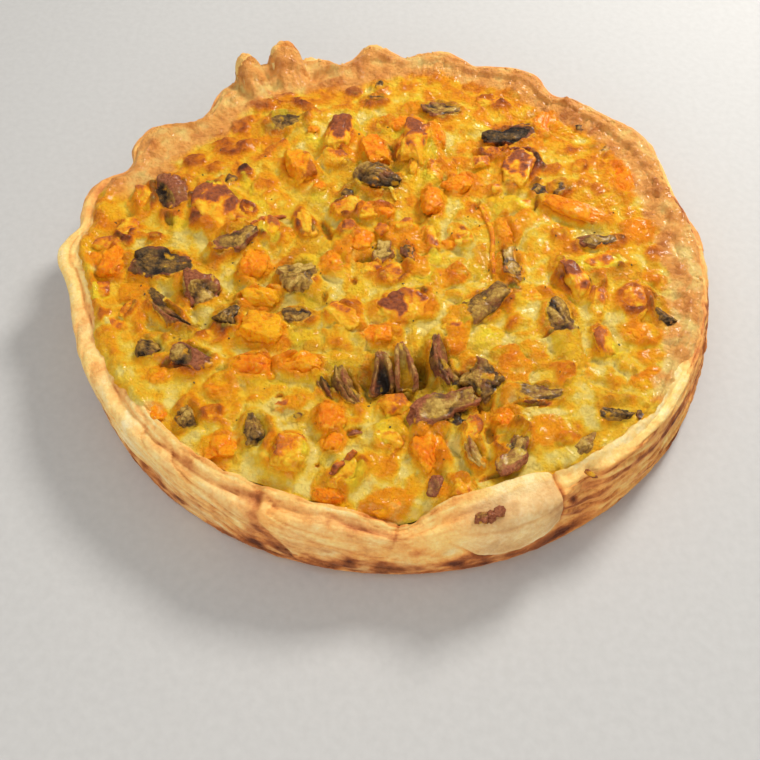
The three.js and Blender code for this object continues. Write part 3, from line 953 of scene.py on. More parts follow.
def front_left_wall(dough):
    """Long sheets that sweep down the front left wall, and the open tuck at their end."""
    angle, height = dough.angle, dough.height
    where = between(angle, 196, 268, 6) * dough.wall
    across = height + 0.22 * dough.arc + 2.5 * dough.ripple(30, 4, 9, 0.5 * height)
    dough.sheets(across, 6.0, 0.7, 31, where, 0.16)
    dough.creases(height + 0.3 * dough.arc, 5, 4.5, 0.4, 33, where, 0.12)
    greyer = 0.5 + Noise(34).layers(dough.place, 12, 3)
    dough.add(0.0, 0.04 * where, 0.45 * where * greyer)
    line = 247.6 + 0.28 * (30 - height)
    beside = turn_from(angle, line) * MM_PER_DEGREE
    tall = smooth(height, 2, 5) * (1 - smooth(dough.inward, -1.0, 1.5)) * smooth(dough.run, 0.5, 1.1)
    sheet = smooth(beside, -0.2, 0.6) * (1 - smooth(beside, 3, 16))
    # The open slit of the tuck is darker: painted shadow in it.
    shaded_slit = bell(beside, -1.3, 1.1)
    dough.add(tall * (0.5 * sheet - 0.45 * shaded_slit), tall * (0.16 * shaded_slit - 0.04 * sheet))


def notch(dough):
    """The place at the front where two ribbons meet and one laps over the other."""
    beside = turn_from(dough.angle, 270.2 + 0.1 * (dough.inward - 4)) * MM_PER_DEGREE
    top = dough.top(-9, -3)
    lapped = smooth(beside, 0.3, -0.3) * (1 - smooth(-beside, 2, 14))
    # The crack where the ribbons meet is darker: painted shade, with a little browning.
    shaded_crack = bell(beside, 0.3, 0.4)
    dough.add(top * (0.45 * lapped - 0.5 * shaded_crack), 0.22 * top * shaded_crack)
    folded = near(dough.angle, 270, 13) * dough.top(-6, -3)
    dough.sheets(dough.inward, 2.3, 0.4, 36, folded, 0.20)
    smooth_front = between(dough.angle, 252, 280, 6) * dough.wall * smooth(dough.height, 7, 12)
    dough.lift = dough.lift * (1 - 0.5 * smooth_front)
    dough.add(0.0, -0.07 * smooth_front)


def blotches(dough):
    """Browned blotches low on the front wall, and paler patches where the dough is thin."""
    where = between(dough.angle, 205, 296, 8) * dough.wall * (1 - smooth(dough.height, 15, 22))
    low = 1 - smooth(dough.height, 5, 15)
    spots = dough.ripple(57, 1.5, 9, 1.1 * dough.height, 4)
    brown = smooth(spots + 0.40 * low, 0.0, 0.75)
    thin = smooth(-spots, 0.0, 0.35)
    dough.add(0.6 * where * spots, where * (0.06 + 0.40 * brown - 0.12 * thin), 0.35 * where * thin)
    fine = dough.ripple(59, 1.2, 4, dough.inward, 4)
    front = between(dough.angle, 200, 345, 10)
    dough.add(0.35 * front * fine, front * (0.01 + 0.16 * fine))


# The lower edge of the flap: angles, and its height there.
FLAP_EDGE = [
    (277, 25),
    (279, 19),
    (282, 13),
    (286, 10),
    (291, 10.5),
    (294, 12.5),
    (296.5, 17),
]


def flap(dough):
    """A smooth pale sheet that hangs over the front wall, with painted shadow under its lower edge, and the
    recess past its end with painted shade at its edge.
    """
    angle, height = dough.angle, dough.height
    at, low = np.array(FLAP_EDGE).T
    edge = np.interp(angle[:, :1], at, low)
    edge = edge + 1.3 * Noise(37).layers(ring_points(angle[:, :1], 1.0), 6, 3)
    across = smooth(angle, 276.5, 284.5) * (1 - smooth(angle, 295.8, 296.5))
    sheet = across * smooth(height, edge - 0.4, edge + 0.5) * dough.wall
    calm = 1 - 0.85 * sheet
    dough.lift = dough.lift * calm
    thick = Noise(60).layers(dough.place, 9, 4)
    dough.bake = dough.bake * calm + sheet * (0.20 + 0.22 * thick)
    swell = 0.9 + 0.9 * bell(height, edge + 9, 7) + 0.4 * thick
    dough.add(sheet * swell, 0.0, sheet * (0.75 + 0.5 * thick))
    brim = across * dough.wall * bell(height, edge + 1.2, 1.0)
    dough.add(0.25 * brim, -0.10 * brim)
    # Painted shadow just under the sheet's lower edge, in a slight dip.
    shadow_under_flap = across * dough.wall * bell(height, edge - 1.0, 0.8)
    dough.add(-0.5 * shadow_under_flap, 0.34 * shadow_under_flap)
    rolled = between(angle, 274, 295.5, 1.5) * dough.rim
    dough.add(1.0 * rolled * bell(dough.inward, 1.5, 3.0), -0.05 * rolled)
    rolled_edge = across * bell(height, dough.crest - 6.0 + 0.08 * np.abs(angle - 288) ** 1.5, 0.7)
    dough.add(-0.35 * rolled_edge, 0.12 * rolled_edge)
    past = between(angle, 296.6, 301, 4) * (dough.wall + dough.rim * (1 - smooth(dough.inward, 4, 7)))
    dough.add(-1.2 * past, 0.06 * past)
    shade = bell(turn_from(angle, 296.7), 0, 0.35) * smooth(height, 10, 14)
    shade = shade * (1 - smooth(dough.inward, 2, 5))
    dough.add(-0.6 * shade, 0.3 * shade)


def flaky_right(dough):
    """The torn layers of the right wall, under a broad pale inner lip."""
    where = between(dough.angle, 299, 12, 5)
    across = dough.inward + 0.08 * dough.arc + 1.2 * dough.ripple(45, 2, 6, dough.inward)
    dough.sheets(across, 5.2, 0.8, 40, where * dough.wall, 0.14)
    dough.sheets(across * 1.3 + 2, 2.6, 0.4, 42, where * dough.wall, 0.06)
    dough.creases(dough.inward, 4, 2.4, 0.3, 44, where * dough.wall, 0.08)
    streaks = dough.ripple(51, 3.5, 6, 1.6 * dough.inward, 4)
    browned = 0.34 * smooth(streaks, 0.0, 0.4) - 0.12 * smooth(-streaks, 0.05, 0.4)
    dough.add(0.3 * where * dough.wall * streaks, where * dough.wall * (0.04 + browned))
    lip = -5.5 + 1.5 * dough.ripple(61, 3, 5)
    pale = between(dough.angle, 298, 338, 5) * smooth(dough.inward, lip - 1.0, lip + 1.0)
    pale = pale * (dough.wall + dough.rim)
    dough.bake = dough.bake * (1 - 0.75 * pale)
    dough.add(0.7 * pale * (0.6 + Noise(46).layers(dough.place, 6, 4)), 0.05 * pale)


def layered_right(dough):
    """Torn layers that lie along the top of the right rim."""
    where = between(dough.angle, 318, 32, 10) * dough.rim
    across = dough.inward + 1.0 * dough.ripple(54, 1.5, 5)
    dough.sheets(across, 3.0, 0.5, 55, where, 0.08)
    dough.add(1.0 * where * dough.ripple(56, 1.3, 4, dough.inward, 3))


def golden_back(dough):
    """The back and right rim: rough, crumbly and golden brown."""
    where = between(dough.angle, 336, 172, 8)
    crumb = Noise(47).layers(dough.place, 5.5, 4)
    pits = folds(48, dough.place, 4.0, 0.10)
    top = where * dough.top(-7, -2)
    mottle = Noise(58).layers(dough.place, 13, 3)
    # The pits are a little darker: partly browning, partly painted shade.
    dough.add(top * (1.3 * crumb - 0.5 * pits), top * (0.05 - 0.16 * crumb + 0.34 * mottle + 0.08 * pits))
    torn = between(dough.angle, 350, 75, 8) * bell(dough.inward, 0, 2.5)
    dough.add(0.8 * torn * dough.ripple(49, 1.2, 4, dough.inward, 3))
    wall = where * dough.wall
    dough.sheets(dough.inward + 0.05 * dough.arc, 3.8, 0.6, 50, wall, 0.10)
    dough.add(0.5 * wall * crumb, -0.14 * wall * crumb)
    paler = between(dough.angle, 345, 20, 8) * (dough.rim + dough.wall)
    dough.add(0.0, 0.12 * wall - 0.10 * paler)


def stains(dough):
    """The spots that the oven has browned more or left pale."""
    height = dough.height
    for at, tall, wide, high, lean, strength in WALL_PATCHES:
        off = turn_from(dough.angle, at) - lean * (height - tall)
        spot = bell(off, 0, wide) * bell(height, tall, high)
        ragged = 0.8 + 0.7 * Noise(52)(dough.place, 4)
        dough.add(0.0, dough.wall * strength * spot * ragged)
    for at, inward, radius, strength in RIM_SPOTS:
        off = np.hypot(turn_from(dough.angle, at) * MM_PER_DEGREE, dough.inward - inward)
        dough.add(0.0, strength * bell(off, 0, radius))
    foot = 0.14 * (1 - smooth(height, 1, 14)) + 0.22 * bell(height, 1.0, 2.2)
    dough.add(0.0, foot * dough.wall)
    dough.add(0.0, 0.34 * (1 - smooth(dough.run, 0.3, 1.1)))


def glaze_share(dough):
    """Where egg and cheese have baked onto the dough: the back, the right and the inner lip."""
    rim = smooth(dough.inward, -4, 1)
    share = between(dough.angle, 338, 176, 10) * rim
    share = np.maximum(share, 0.8 * smooth(dough.inward, 5, 10) * between(dough.angle, 290, 345, 6))
    share = np.maximum(share, 0.6 * smooth(dough.run, 5.2, 6.0))
    return np.clip(share + 0.3 * Noise(53)(dough.place, 8) * rim, 0, 1)


def lifted(dough):
    """The dough's places, moved out from the smooth loft by its lift."""
    count, length = dough.count, dough.length
    quads = grid_quads(length, count, wrap=True)
    normal = vertex_normals(dough.place.transpose(1, 0, 2).reshape(-1, 3), quads)
    normal = normal.reshape(length, count, 3).transpose(1, 0, 2)
    middle = length // 4
    outward = np.sum(normal[:, middle, :2] * dough.place[:, middle, :2]) > 0
    normal = normal if outward else -normal
    lift = dough.lift * smooth(dough.run, 0.15, 0.8)
    place = dough.place + normal * lift[..., None]
    place[..., 2] = np.maximum(place[..., 2], 0)
    return place


def shell_mesh(place, floor_height):
    """The shell's points and faces, closed with fans at its underside and its inner floor."""
    count, length = place.shape[:2]
    points = place.transpose(1, 0, 2).reshape(-1, 3)
    foot, floor_middle = len(points), len(points) + 1
    points = np.concatenate([points, [[0, 0, 0], [0, 0, floor_height]]])
    ring = np.arange(count)
    beside = (ring + 1) % count
    last = (length - 1) * count
    under = np.column_stack([beside, ring, np.full(count, foot)])
    inside = np.column_stack([last + ring, last + beside, np.full(count, floor_middle)])
    quads = grid_quads(length, count, wrap=True)
    return points, [*quads.tolist(), *under.tolist(), *inside.tolist()]


def crust(material):
    """Makes the shell, and returns its Rim."""
    dough = Dough()
    parts = [ribbons, front_left_wall, notch, flaky_right, layered_right, golden_back]
    parts += [blotches, flap, stains]
    for part in parts:
        part(dough)
    place = lifted(dough)
    points, faces = shell_mesh(place, dough.sections[0, -1, 1])
    bake = np.clip(dough.bake, 0, 1)
    thin = np.clip(dough.thin, 0, 1)
    values = {
        "bake": np.append(bake.T.reshape(-1), [0.5, 0.3]),
        "thin": np.append(thin.T.reshape(-1), [0, 0]),
        "glaze": np.append(glaze_share(dough).T.reshape(-1), [0, 0]),
    }
    piece = make_piece("pastry_shell", points, faces, material, values)
    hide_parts("crust")
    return Rim(place, dough.run)


class Rim:
    """The height of the finished rim's top."""

    RADIUS_STEP = 0.5
    RADII = np.arange(98.0, 130.0, RADIUS_STEP)

    def __init__(self, place, run):
        heights = []
        for column, where in zip(place, run):
            top = (where >= CREST) & (where <= LIP)
            radius = np.hypot(column[top, 0], column[top, 1])
            order = np.argsort(radius)
            heights.append(np.interp(self.RADII, radius[order], column[top, 2][order]))
        self.heights = np.array(heights)

    def __call__(self, x, y):
        turn = np.degrees(np.arctan2(y, x)) % 360 / 360 * len(self.heights)
        radius = (np.hypot(x, y) - self.RADII[0]) / self.RADIUS_STEP
        return read_between(self.heights, turn, np.clip(radius, 0, len(self.RADII) - 1.001))


# ---- Custard ------------------------------------------------------------------------------------

# Coloured swells of the custard: x, y, length, width, turn, rise in mm, and strength.
ORANGE_SWELLS = [
    (2, 73, 18, 9, 0, 1.0, 0.7), (8, 80, 12, 9, 60, 0.8, 0.6), (-37, 108, 7, 5, 0, 0.4, 0.6),
    (44, 97, 7, 6, 0, 0.5, 0.5), (64, 71, 17, 13, 10, 0.6, 0.8), (93, 38, 15, 22, 0, 0.6, 0.8),
    (96, 9, 13, 15, 0, 0.5, 0.7), (76, 43, 9, 6, 70, 0.8, 0.5), (37, 76, 6, 8, 0, 0.6, 0.5),
    (-16, -2, 14, 18, 20, 1.2, 0.6), (-23, -9, 13, 14, 0, 1.0, 0.65), (-52, 33, 10, 15, 0, 0.8, 0.4),
    (-47, 25, 12, 12, 30, 0.8, 0.3), (43, 11, 7, 16, 0, 0.7, 0.6), (41, 29, 6, 8, 0, 0.5, 0.5),
    (24, -14, 11, 11, 0, 0.8, 0.55), (33, -4, 6, 14, 10, 0.6, 0.5), (38, -52, 10, 9, 0, 0.8, 0.6),
    (48, -50, 12, 9, 20, 0.6, 0.4), (58, -61, 7, 12, -20, 1.0, 0.5), (50, -83, 16, 12, 30, 0.6, 0.6),
    (56, -85, 8, 7, 0, 0.8, 0.5), (87, -62, 15, 10, 30, 0.6, 0.7), (88, -43, 15, 10, 0, 0.8, 0.65),
    (90, -52, 10, 8, 0, 0.4, 0.5), (64, -56, 9, 6, 30, 0.4, 0.4), (74, -63, 8, 5, 0, 0.4, 0.45),
    (94, -17, 8, 7, 0, 1.2, 0.6), (-60, -66, 12, 11, 0, 0.6, 0.45), (-61, -56, 7, 6, 0, 0.5, 0.35),
    (-48, -66, 20, 7, 0, 0.4, 0.3), (-36, -73, 11, 6, 10, 1.0, 0.6), (-82, -60, 9, 7, 20, 0.6, 0.55),
    (-92, -33, 18, 12, -50, 0.7, 0.35), (-104, -29, 8, 8, 0, 0.8, 0.4), (-94, -42, 10, 8, 0, 0.6, 0.35),
    (-68, 6, 16, 12, -30, 1.2, 0.5), (-93, 2, 11, 5, 0, 0.6, 0.4), (-8, -113, 12, 12, 60, 0.8, 0.65),
    (-5, -100, 14, 12, 0, 0.4, 0.35), (9, -89, 9, 19, 15, 0.8, 0.6), (20, -103, 11, 8, -20, 1.0, 0.5),
    (-56, -16, 10, 8, 0, 0.6, 0.5), (-44, -47, 14, 9, 0, 0.8, 0.5), (3, -32, 9, 8, 0, 0.6, 0.4),
    (14, -24, 10, 9, 0, 0.8, 0.4), (52, -25, 14, 7, 20, 0.8, 0.5), (61, -12, 8, 14, 10, 1.0, 0.4),
    (64, 3, 9, 12, 0, 0.6, 0.4), (80, 36, 12, 9, 0, 0.7, 0.4), (87, 24, 12, 7, 20, 0.6, 0.35),
    (60, 24, 14, 7, -20, 0.8, 0.45), (-84, 36, 7, 5, -20, 0.4, 0.5), (-101, 22, 10, 14, 20, 0.8, 0.5),
    (-33, 34, 12, 12, 0, 0.5, 0.4),
]
BROWN_SWELLS = [
    (-68, 57, 17, 11, 0, 1.0, 0.42), (-66, 70, 7, 8, 0, 0.8, 0.28), (-82, 48, 9, 10, 20, 0.9, 0.34),
    (-72, 43, 10, 6, 0, 0.8, 0.28), (-75, 66, 6, 5, 0, 0.5, 0.22), (-60, 39, 7, 7, 0, 1.0, 0.34),
    (-61, 57, 9, 9, 0, 0.8, 0.26), (-61, 42, 5, 4, 0, 0.6, 0.26), (-53, 33, 8, 6, 0, 0.6, 0.16),
    (-38, 83, 18, 4.5, -48, 0.7, 0.42), (-56, 84, 14, 8, 0, 0.6, 0.18), (-47, 88, 12, 7, 0, 0.6, 0.18),
    (-17, 93, 7, 6, 0, 0.7, 0.28), (-8, 84, 14, 6, 0, 0.6, 0.30), (-12, 108, 12, 7, 0, 0.5, 0.26),
    (-27, 99, 12, 8, 0, 0.6, 0.12), (16, 103, 10, 10, 0, 0.6, 0.14), (41, 88, 7, 6, 0, 0.9, 0.34),
    (46, 83, 9, 6, 0, 0.7, 0.24), (36, 96, 10, 7, 0, 0.6, 0.16), (58, 92, 12, 8, -30, 0.5, 0.10),
    (54, 44, 18, 15, 60, 1.2, 0.40), (41, 51, 15, 7, -15, 1.0, 0.36), (64, 42, 8, 8, 30, 0.8, 0.30),
    (48, 33, 9, 6, 60, 0.7, 0.22), (22, 45, 10, 8, 20, 0.8, 0.14), (77, 43, 7, 7, 0, 0.8, 0.22),
    (83, 30, 9, 7, 0, 0.7, 0.18), (72, 55, 12, 7, 0, 0.5, 0.10), (104, 30, 8, 14, 0, 0.4, 0.12),
    (100, -3, 12, 10, 30, 0.7, 0.16), (106, -14, 8, 16, 10, 0.7, 0.24), (98, -18, 8, 8, 0, 0.8, 0.22),
    (106, -30, 7, 16, 10, 0.7, 0.24), (87, -28, 13, 15, -20, 1.0, 0.26), (101, -42, 8, 9, 0, 0.6, 0.24),
    (91, -44, 7, 7, 0, 0.6, 0.18), (88, 4, 9, 8, 0, 0.5, 0.14), (64, 5, 7, 8, 30, 0.6, 0.16),
    (59, -62, 5, 9, -20, 0.8, 0.26), (40, -54, 12, 10, 0, 0.7, 0.20), (51, -55, 9, 8, 0, 0.5, 0.12),
    (66, -52, 7, 7, 40, 0.5, 0.14), (76, -58, 8, 5, 0, 0.5, 0.14), (40, -84, 8, 6, 0, 0.8, 0.24),
    (35, -90, 9, 10, 40, 0.7, 0.22), (57, -86, 7, 6, 0, 0.8, 0.20), (21, -103, 8, 7, 0, 0.8, 0.24),
    (-1, -75, 10, 9, 0, 0.8, 0.22), (1, -92, 5, 5, 0, 0.5, 0.24), (-6, -97, 16, 10, 0, 0.4, 0.08),
    (-7, -117, 12, 4, 20, 0.3, 0.30), (-62, -76, 8, 8, 0, 0.6, 0.14), (-60, -64, 9, 9, 0, 0.6, 0.16),
    (-65, -44, 11, 9, 0, 0.8, 0.18), (-49, -54, 10, 6, 0, 0.8, 0.30), (-101, -40, 16, 5, 20, 0.6, 0.30),
    (-106, -35, 7, 4, 60, 0.8, 0.34), (-97, -32, 8, 5, 60, 0.9, 0.36), (-93, -37, 8, 8, 0, 0.6, 0.18),
    (-98, -24, 10, 7, 0, 0.6, 0.16), (-96, 6, 15, 4, -8, 1.0, 0.42), (-104, 8, 9, 12, 0, 0.8, 0.28),
    (-109, 2, 14, 6, 0, 0.8, 0.34), (-73, 12, 16, 14, 0, 1.4, 0.30), (-76, 26, 14, 7, 40, 1.0, 0.34),
    (-57, 16, 7, 8, 0, 1.0, 0.40), (-35, 12, 9, 17, 15, 1.0, 0.26), (-19, 19, 14, 11, 0, 1.4, 0.36),
    (-19, 9, 8, 8, 0, 1.0, 0.28), (-12, 4, 8, 6, 0, 0.8, 0.20), (-3, 20, 7, 5, 0, 0.8, 0.30),
    (24, -14, 8, 9, 0, 0.6, 0.20), (24, 6, 7, 10, 30, 1.0, 0.32), (4, -27, 20, 6, 0, 1.0, 0.42),
    (0, -15, 14, 10, 30, 1.0, 0.24), (-17, -30, 8, 5, 0, 0.6, 0.14), (62, -16, 7, 6, 0, 1.0, 0.36),
    (62, -8, 5, 6, 0, 1.0, 0.34),
]
PALE_SWELLS = [
    (-56, 93, 5, 8, 0, 0.3, 0.20), (2, 98, 7, 12, 0, 0.4, 0.20), (12, 92, 16, 7, 0, 0.5, 0.22),
    (-12, 76, 8, 10, 0, 0.8, 0.26), (-24, 76, 13, 9, 0, 0.9, 0.24), (27, 69, 6, 8, 0, 0.5, 0.18),
    (35, 66, 13, 10, 0, 0.6, 0.20), (24, 60, 8, 14, 0, 0.5, 0.18), (-51, 46, 10, 8, 0, 0.6, 0.16),
    (-44, 57, 10, 9, 0, 0.7, 0.14), (-36, 59, 9, 11, 0, 0.7, 0.14), (-31, 28, 10, 12, 0, 0.4, 0.24),
    (-13, 30, 7, 9, 0, 0.5, 0.24), (-78, 2, 20, 14, -40, 0.5, 0.20), (-70, -3, 8, 7, 0, 0.6, 0.24),
    (-63, -18, 7, 12, 0, 0.5, 0.22), (-70, -35, 8, 9, 0, 0.5, 0.28), (-102, -37, 7, 6, 0, 0.6, 0.26),
    (-45, -24, 8, 4, 0, 0.6, 0.28), (-85, -70, 14, 16, 0, 0.5, 0.16), (-67, -88, 10, 14, 30, 0.4, 0.18),
    (-45, -98, 24, 10, -25, 0.4, 0.16), (-27, -104, 12, 8, 0, 0.5, 0.24),
    (-31, -93, 8, 9, 0, 0.6, 0.22), (4, -113, 16, 12, 30, 0.4, 0.18), (4, -97, 14, 9, 0, 0.4, 0.12),
    (20, -91, 6, 12, 0, 0.4, 0.22), (47, -76, 18, 5, 0, 0.5, 0.24), (37, -70, 9, 7, 0, 0.5, 0.22),
    (66, -70, 12, 12, 0, 0.4, 0.18), (63, -79, 8, 12, 30, 0.5, 0.16), (52, -94, 22, 7, 25, 0.4, 0.16),
    (56, -45, 10, 6, 20, 0.5, 0.18), (30, -44, 10, 10, 0, 0.5, 0.16), (79, -38, 8, 12, 20, 0.6, 0.22),
    (80, -48, 12, 8, 30, 0.5, 0.18), (93, -8, 14, 8, 0, 0.4, 0.16), (76, 8, 14, 6, 0, 0.3, 0.18),
    (56, 13, 17, 12, 20, 0.5, 0.20), (51, 6, 9, 9, 0, 0.5, 0.20), (24, 12, 20, 9, 0, 0.5, 0.18),
    (23, 22, 9, 7, 0, 0.5, 0.22), (67, 50, 14, 9, -30, 0.4, 0.14), (75, 33, 8, 12, 0, 0.4, 0.14),
    (78, 63, 12, 7, 0, 0.4, 0.12), (57, 80, 14, 8, 0, 0.4, 0.12), (52, -16, 9, 12, 0, 0.6, 0.22),
    (-12, -44, 8, 10, 0, 0.5, 0.18), (-22, -24, 8, 14, 0, 0.5, 0.14), (3, -52, 16, 7, 20, 0.5, 0.14),
    (33, 46, 9, 6, 0, 0.5, 0.24), (12, 84, 8, 5, 0, 0.4, 0.14), (-9, -85, 9, 9, 0, 0.4, 0.10),
]
LEMON_SWELLS = [
    (-18, 77, 6, 5, 20, 0.6, 0.5), (-15, 68, 6, 12, 10, 0.8, 0.8), (-4, 66, 3, 11, 30, 0.5, 0.6),
    (1, 65, 9, 9, 0, 0.6, 0.5), (10, 86, 12, 6, 20, 0.5, 0.5), (36, 67, 10, 6, 0, 0.4, 0.4),
    (-59, 33, 5, 10, 20, 0.5, 0.6), (-54, 24, 6, 16, 35, 0.5, 0.6), (-77, 37, 9, 4, 30, 0.5, 0.5),
    (-84, 10, 9, 8, 0, 0.6, 0.5), (-67, 26, 16, 6, -30, 0.8, 0.6), (-31, 27, 7, 11, 0, 0.4, 0.5),
    (13, 52, 12, 12, 0, 0.9, 0.7), (16, 39, 7, 14, 10, 0.8, 0.7), (4, 11, 8, 6, 0, 0.6, 0.6),
    (15, -6, 8, 8, 0, 0.5, 0.6), (16, 8, 5, 14, 10, 0.6, 0.6), (12, -15, 10, 12, 0, 0.6, 0.6),
    (30, -12, 12, 4, -50, 0.6, 0.6), (24, -34, 12, 12, 20, 0.7, 0.8), (51, 22, 9, 7, 0, 0.5, 0.6),
    (77, -9, 20, 10, 0, 0.6, 0.7), (-109, -23, 7, 9, 0, 0.8, 0.8), (-113, -4, 6, 8, 0, 0.4, 0.5),
    (-48, 6, 7, 13, 25, 0.8, 0.6), (-43, 18, 10, 8, 30, 0.5, 0.3), (-62, -14, 5, 9, 0, 0.5, 0.4),
    (-30, -26, 13, 9, 0, 0.5, 0.4), (-44, -63, 22, 6, 0, 0.3, 0.5), (-30, -61, 12, 8, 0, 0.5, 0.6),
    (-36, -43, 14, 8, 0, 0.6, 0.6), (-3, -84, 11, 10, 0, 0.6, 0.7), (-33, -92, 9, 8, 0, 0.7, 0.6),
    (-15, -101, 12, 8, 45, 0.8, 0.7), (-14, -22, 9, 10, 0, 0.5, 0.4), (-22, -14, 8, 8, 0, 0.5, 0.3),
    (3, -112, 12, 9, 0, 0.3, 0.4), (76, -51, 7, 9, 0, 0.6, 0.6), (-20, -54, 18, 8, 0, 0.4, 0.4),
    (46, -28, 8, 6, 30, 0.5, 0.5), (-10, 48, 6, 10, 0, 0.4, 0.3),
]
# Patches of painted shade, olive and dark, in the gaps among the toppings.
SHADE_SWELLS = [
    (-6, -60, 44, 20, 5, -1.2, 0.62), (12, -64, 28, 26, 20, -1.0, 0.60),
    (24, -72, 22, 22, 0, -1.0, 0.50), (-66, -28, 34, 16, 60, -0.8, 0.45),
    (-80, -16, 30, 14, 60, -0.6, 0.40), (-30, -26, 22, 12, 0, -0.5, 0.45),
    (-46, -8, 6, 16, 0, -0.5, 0.40), (42, 60, 18, 10, 20, -0.6, 0.40), (-4, 42, 22, 12, 0, -0.5, 0.40),
    (-54, 68, 12, 7, 20, 0.4, 0.55), (-46, 72, 22, 13, -10, 0.8, 0.55), (-6, 96, 9, 11, 0, 0.5, 0.6),
    (-8, 87, 14, 9, 0, 0.6, 0.4), (21, 79, 18, 15, 0, 0.6, 0.6), (24, 81, 7, 5, 0, 0.3, 0.5),
    (87, 57, 11, 10, 0, 0.4, 0.55), (80, 71, 6, 8, 0, 0.3, 0.5), (67, 31, 10, 11, 0, 0.6, 0.55),
    (86, -15, 13, 8, -20, 0.5, 0.5), (75, -19, 9, 9, 0, 0.6, 0.5), (42, 61, 10, 7, 20, 0.4, 0.5),
    (-111, 11, 9, 10, 0, 0.6, 0.5), (-43, 9, 5, 6, 0, 0.2, 0.6), (-17, 30, 11, 12, 0, 0.4, 0.5),
    (-12, 31, 5, 9, 0, 0.3, 0.3), (50, 1, 4, 6, 0, 0.2, 0.4), (-22, -95, 8, 7, 30, 0.3, 0.6),
    (-24, -101, 5, 8, 0, 0.2, 0.4), (-76, -45, 13, 10, 0, 0.8, 0.5), (-47, -84, 15, 18, 0, 0.7, 0.5),
    (48, -69, 22, 10, 0, 0.6, 0.6), (74, -74, 20, 12, 20, 0.6, 0.5), (72, -71, 14, 6, 0, 0.4, 0.5),
    (38, -92, 7, 16, -30, 0.5, 0.5), (14, -71, 14, 9, 10, 0.8, 0.5), (20, -63, 10, 9, 0, 0.4, 0.5),
    (5, -62, 14, 8, 0, 0.3, 0.5), (8, -56, 6, 12, 0, -0.8, 0.6), (12, -50, 7, 12, 0, 0.4, 0.4),
    (-33, -78, 7, 4, 0, 0.2, 0.5), (83, -58, 4, 6, 20, 0.2, 0.7), (-60, -59, 5, 3, 0, 0.2, 0.6),
    (98, -31, 12, 13, -30, 0.7, 0.55), (64, -37, 10, 6, 30, 0.3, 0.4), (-66, -53, 8, 10, 0, 0.2, 0.3),
    (-80, -66, 6, 10, 0, 0.2, 0.2), (-68, -10, 6, 12, 0, 0.2, 0.35), (-52, -93, 5, 5, 0, 0.2, 0.4),
    (-88, 12, 4, 7, 30, -0.6, 0.5), (20, -82, 12, 8, 40, 0.3, 0.5), (26, -90, 10, 12, 0, 0.3, 0.4),
]
# Small holes in the custard, painted dark as the shade in them: x, y, length, width, turn, and depth.
HOLES = [
    (-13, -7.5, 5, 2.5, 10, 2.0), (-9.5, -7, 3, 3, 0, 2.2), (-15, -18.5, 2.5, 3.5, 0, 1.6),
    (-26, -25.5, 2.2, 5, 0, 2.0), (-26.5, 9, 3, 11, 20, 2.0), (-0.5, 53, 3, 12, 15, 2.4),
    (33, 22.5, 2.2, 7, -20, 2.0), (12.5, 16.5, 1.6, 6, 30, 1.6), (27, -71.5, 2.4, 10, 20, 2.6),
    (31, -85, 3.5, 8, 0, 2.4), (8, -55, 5, 4, 0, 2.6), (56, 21.5, 1.6, 4, -10, 1.2),
    (-88, 13, 2.5, 6, 30, 1.8), (-58.5, -40, 4, 3, 0, 1.8), (-61.5, -2.5, 8, 2, 30, 1.4),
    (-14.5, -84, 6, 3, 25, 1.6), (-40, -69.5, 3, 1.6, 0, 0.8), (-26, -96.5, 1.6, 1.6, 0, 1.0),
    (-34, -109, 5, 1.4, 15, 1.0), (-77, -39, 9, 2, 0, 1.4), (-75, -58, 12, 1.8, -10, 1.4),
    (-80, -55, 6, 3, 30, 1.6), (-71, -28, 9, 3, 30, 1.6), (-65.5, -23, 2, 6, 0, 1.4),
    (94, -25.5, 3, 5, 20, 1.8), (56, -43, 8, 1.8, 20, 1.2), (47, -73.5, 16, 1.6, 0, 1.2),
    (-54, -21.5, 2, 2, 0, 0.8), (41, -7, 1.8, 12, 0, 1.4), (20, 36, 4, 2, 0, 1.0),
    (43.5, -22, 3, 6, 60, 1.0), (30, -100, 8, 1.4, 20, 0.8), (-11, -60, 6, 9, 0, 2.6),
    (8.7, -59.5, 4.5, 11, -10, 3.4), (-21, -65, 2.5, 8, 20, 2.0), (22, -62, 6, 5, 30, 2.2),
    (3, -71, 9, 2.5, 10, 1.6), (30, -72, 5, 5, 0, 2.2),
]


def swell_shape(x, y, uneven, outline):
    """1 on a swell and 0 clear of it, with a ragged edge."""
    middle_x, middle_y, length, width, turn = outline
    along, across = turned(x - middle_x, y - middle_y, -math.radians(turn))
    reach = np.sqrt((2 * along / length) ** 2 + (2 * across / width) ** 2)
    reach = reach + uneven * 4.5 / min(length, width)
    return 1 - smooth(reach, 0.75, 1.15)


def warped(x, y, size, amount, seed):
    place = flat_points(x, y)
    return x + amount * Noise(seed)(place, size), y + amount * Noise(seed + 1)(place, size)


def diced(x, y, size, seed):
    """Lumps with flat slanting tops and creases between, 0 to 1, and their own numbers."""
    inside, offset, own = Dice(seed, size)(*warped(x, y, 0.6 * size, 0.22 * size, seed + 1))
    slope = offset[..., 0] * (own[..., 1] - 0.5) + offset[..., 1] * (own[..., 2] - 0.5)
    side = 1 - np.exp(-inside / (0.13 * size))
    return side * (own[..., 0] + 1.2 * slope), own


def dough_edge(x, y, inside):
    """How much the edge of the filling is baked dry like the dough, by the mm inside the lip."""
    angle = np.degrees(np.arctan2(y, x))
    width = 3.5 + 9 * between(angle, 98, 160, 14) + 3 * between(angle, 20, 98, 12)
    width = width + 4 * between(angle, 338, 20, 8)
    return between(angle, 326, 160, 10) * (1 - smooth(inside, 0.4 * width, 1.4 * width))


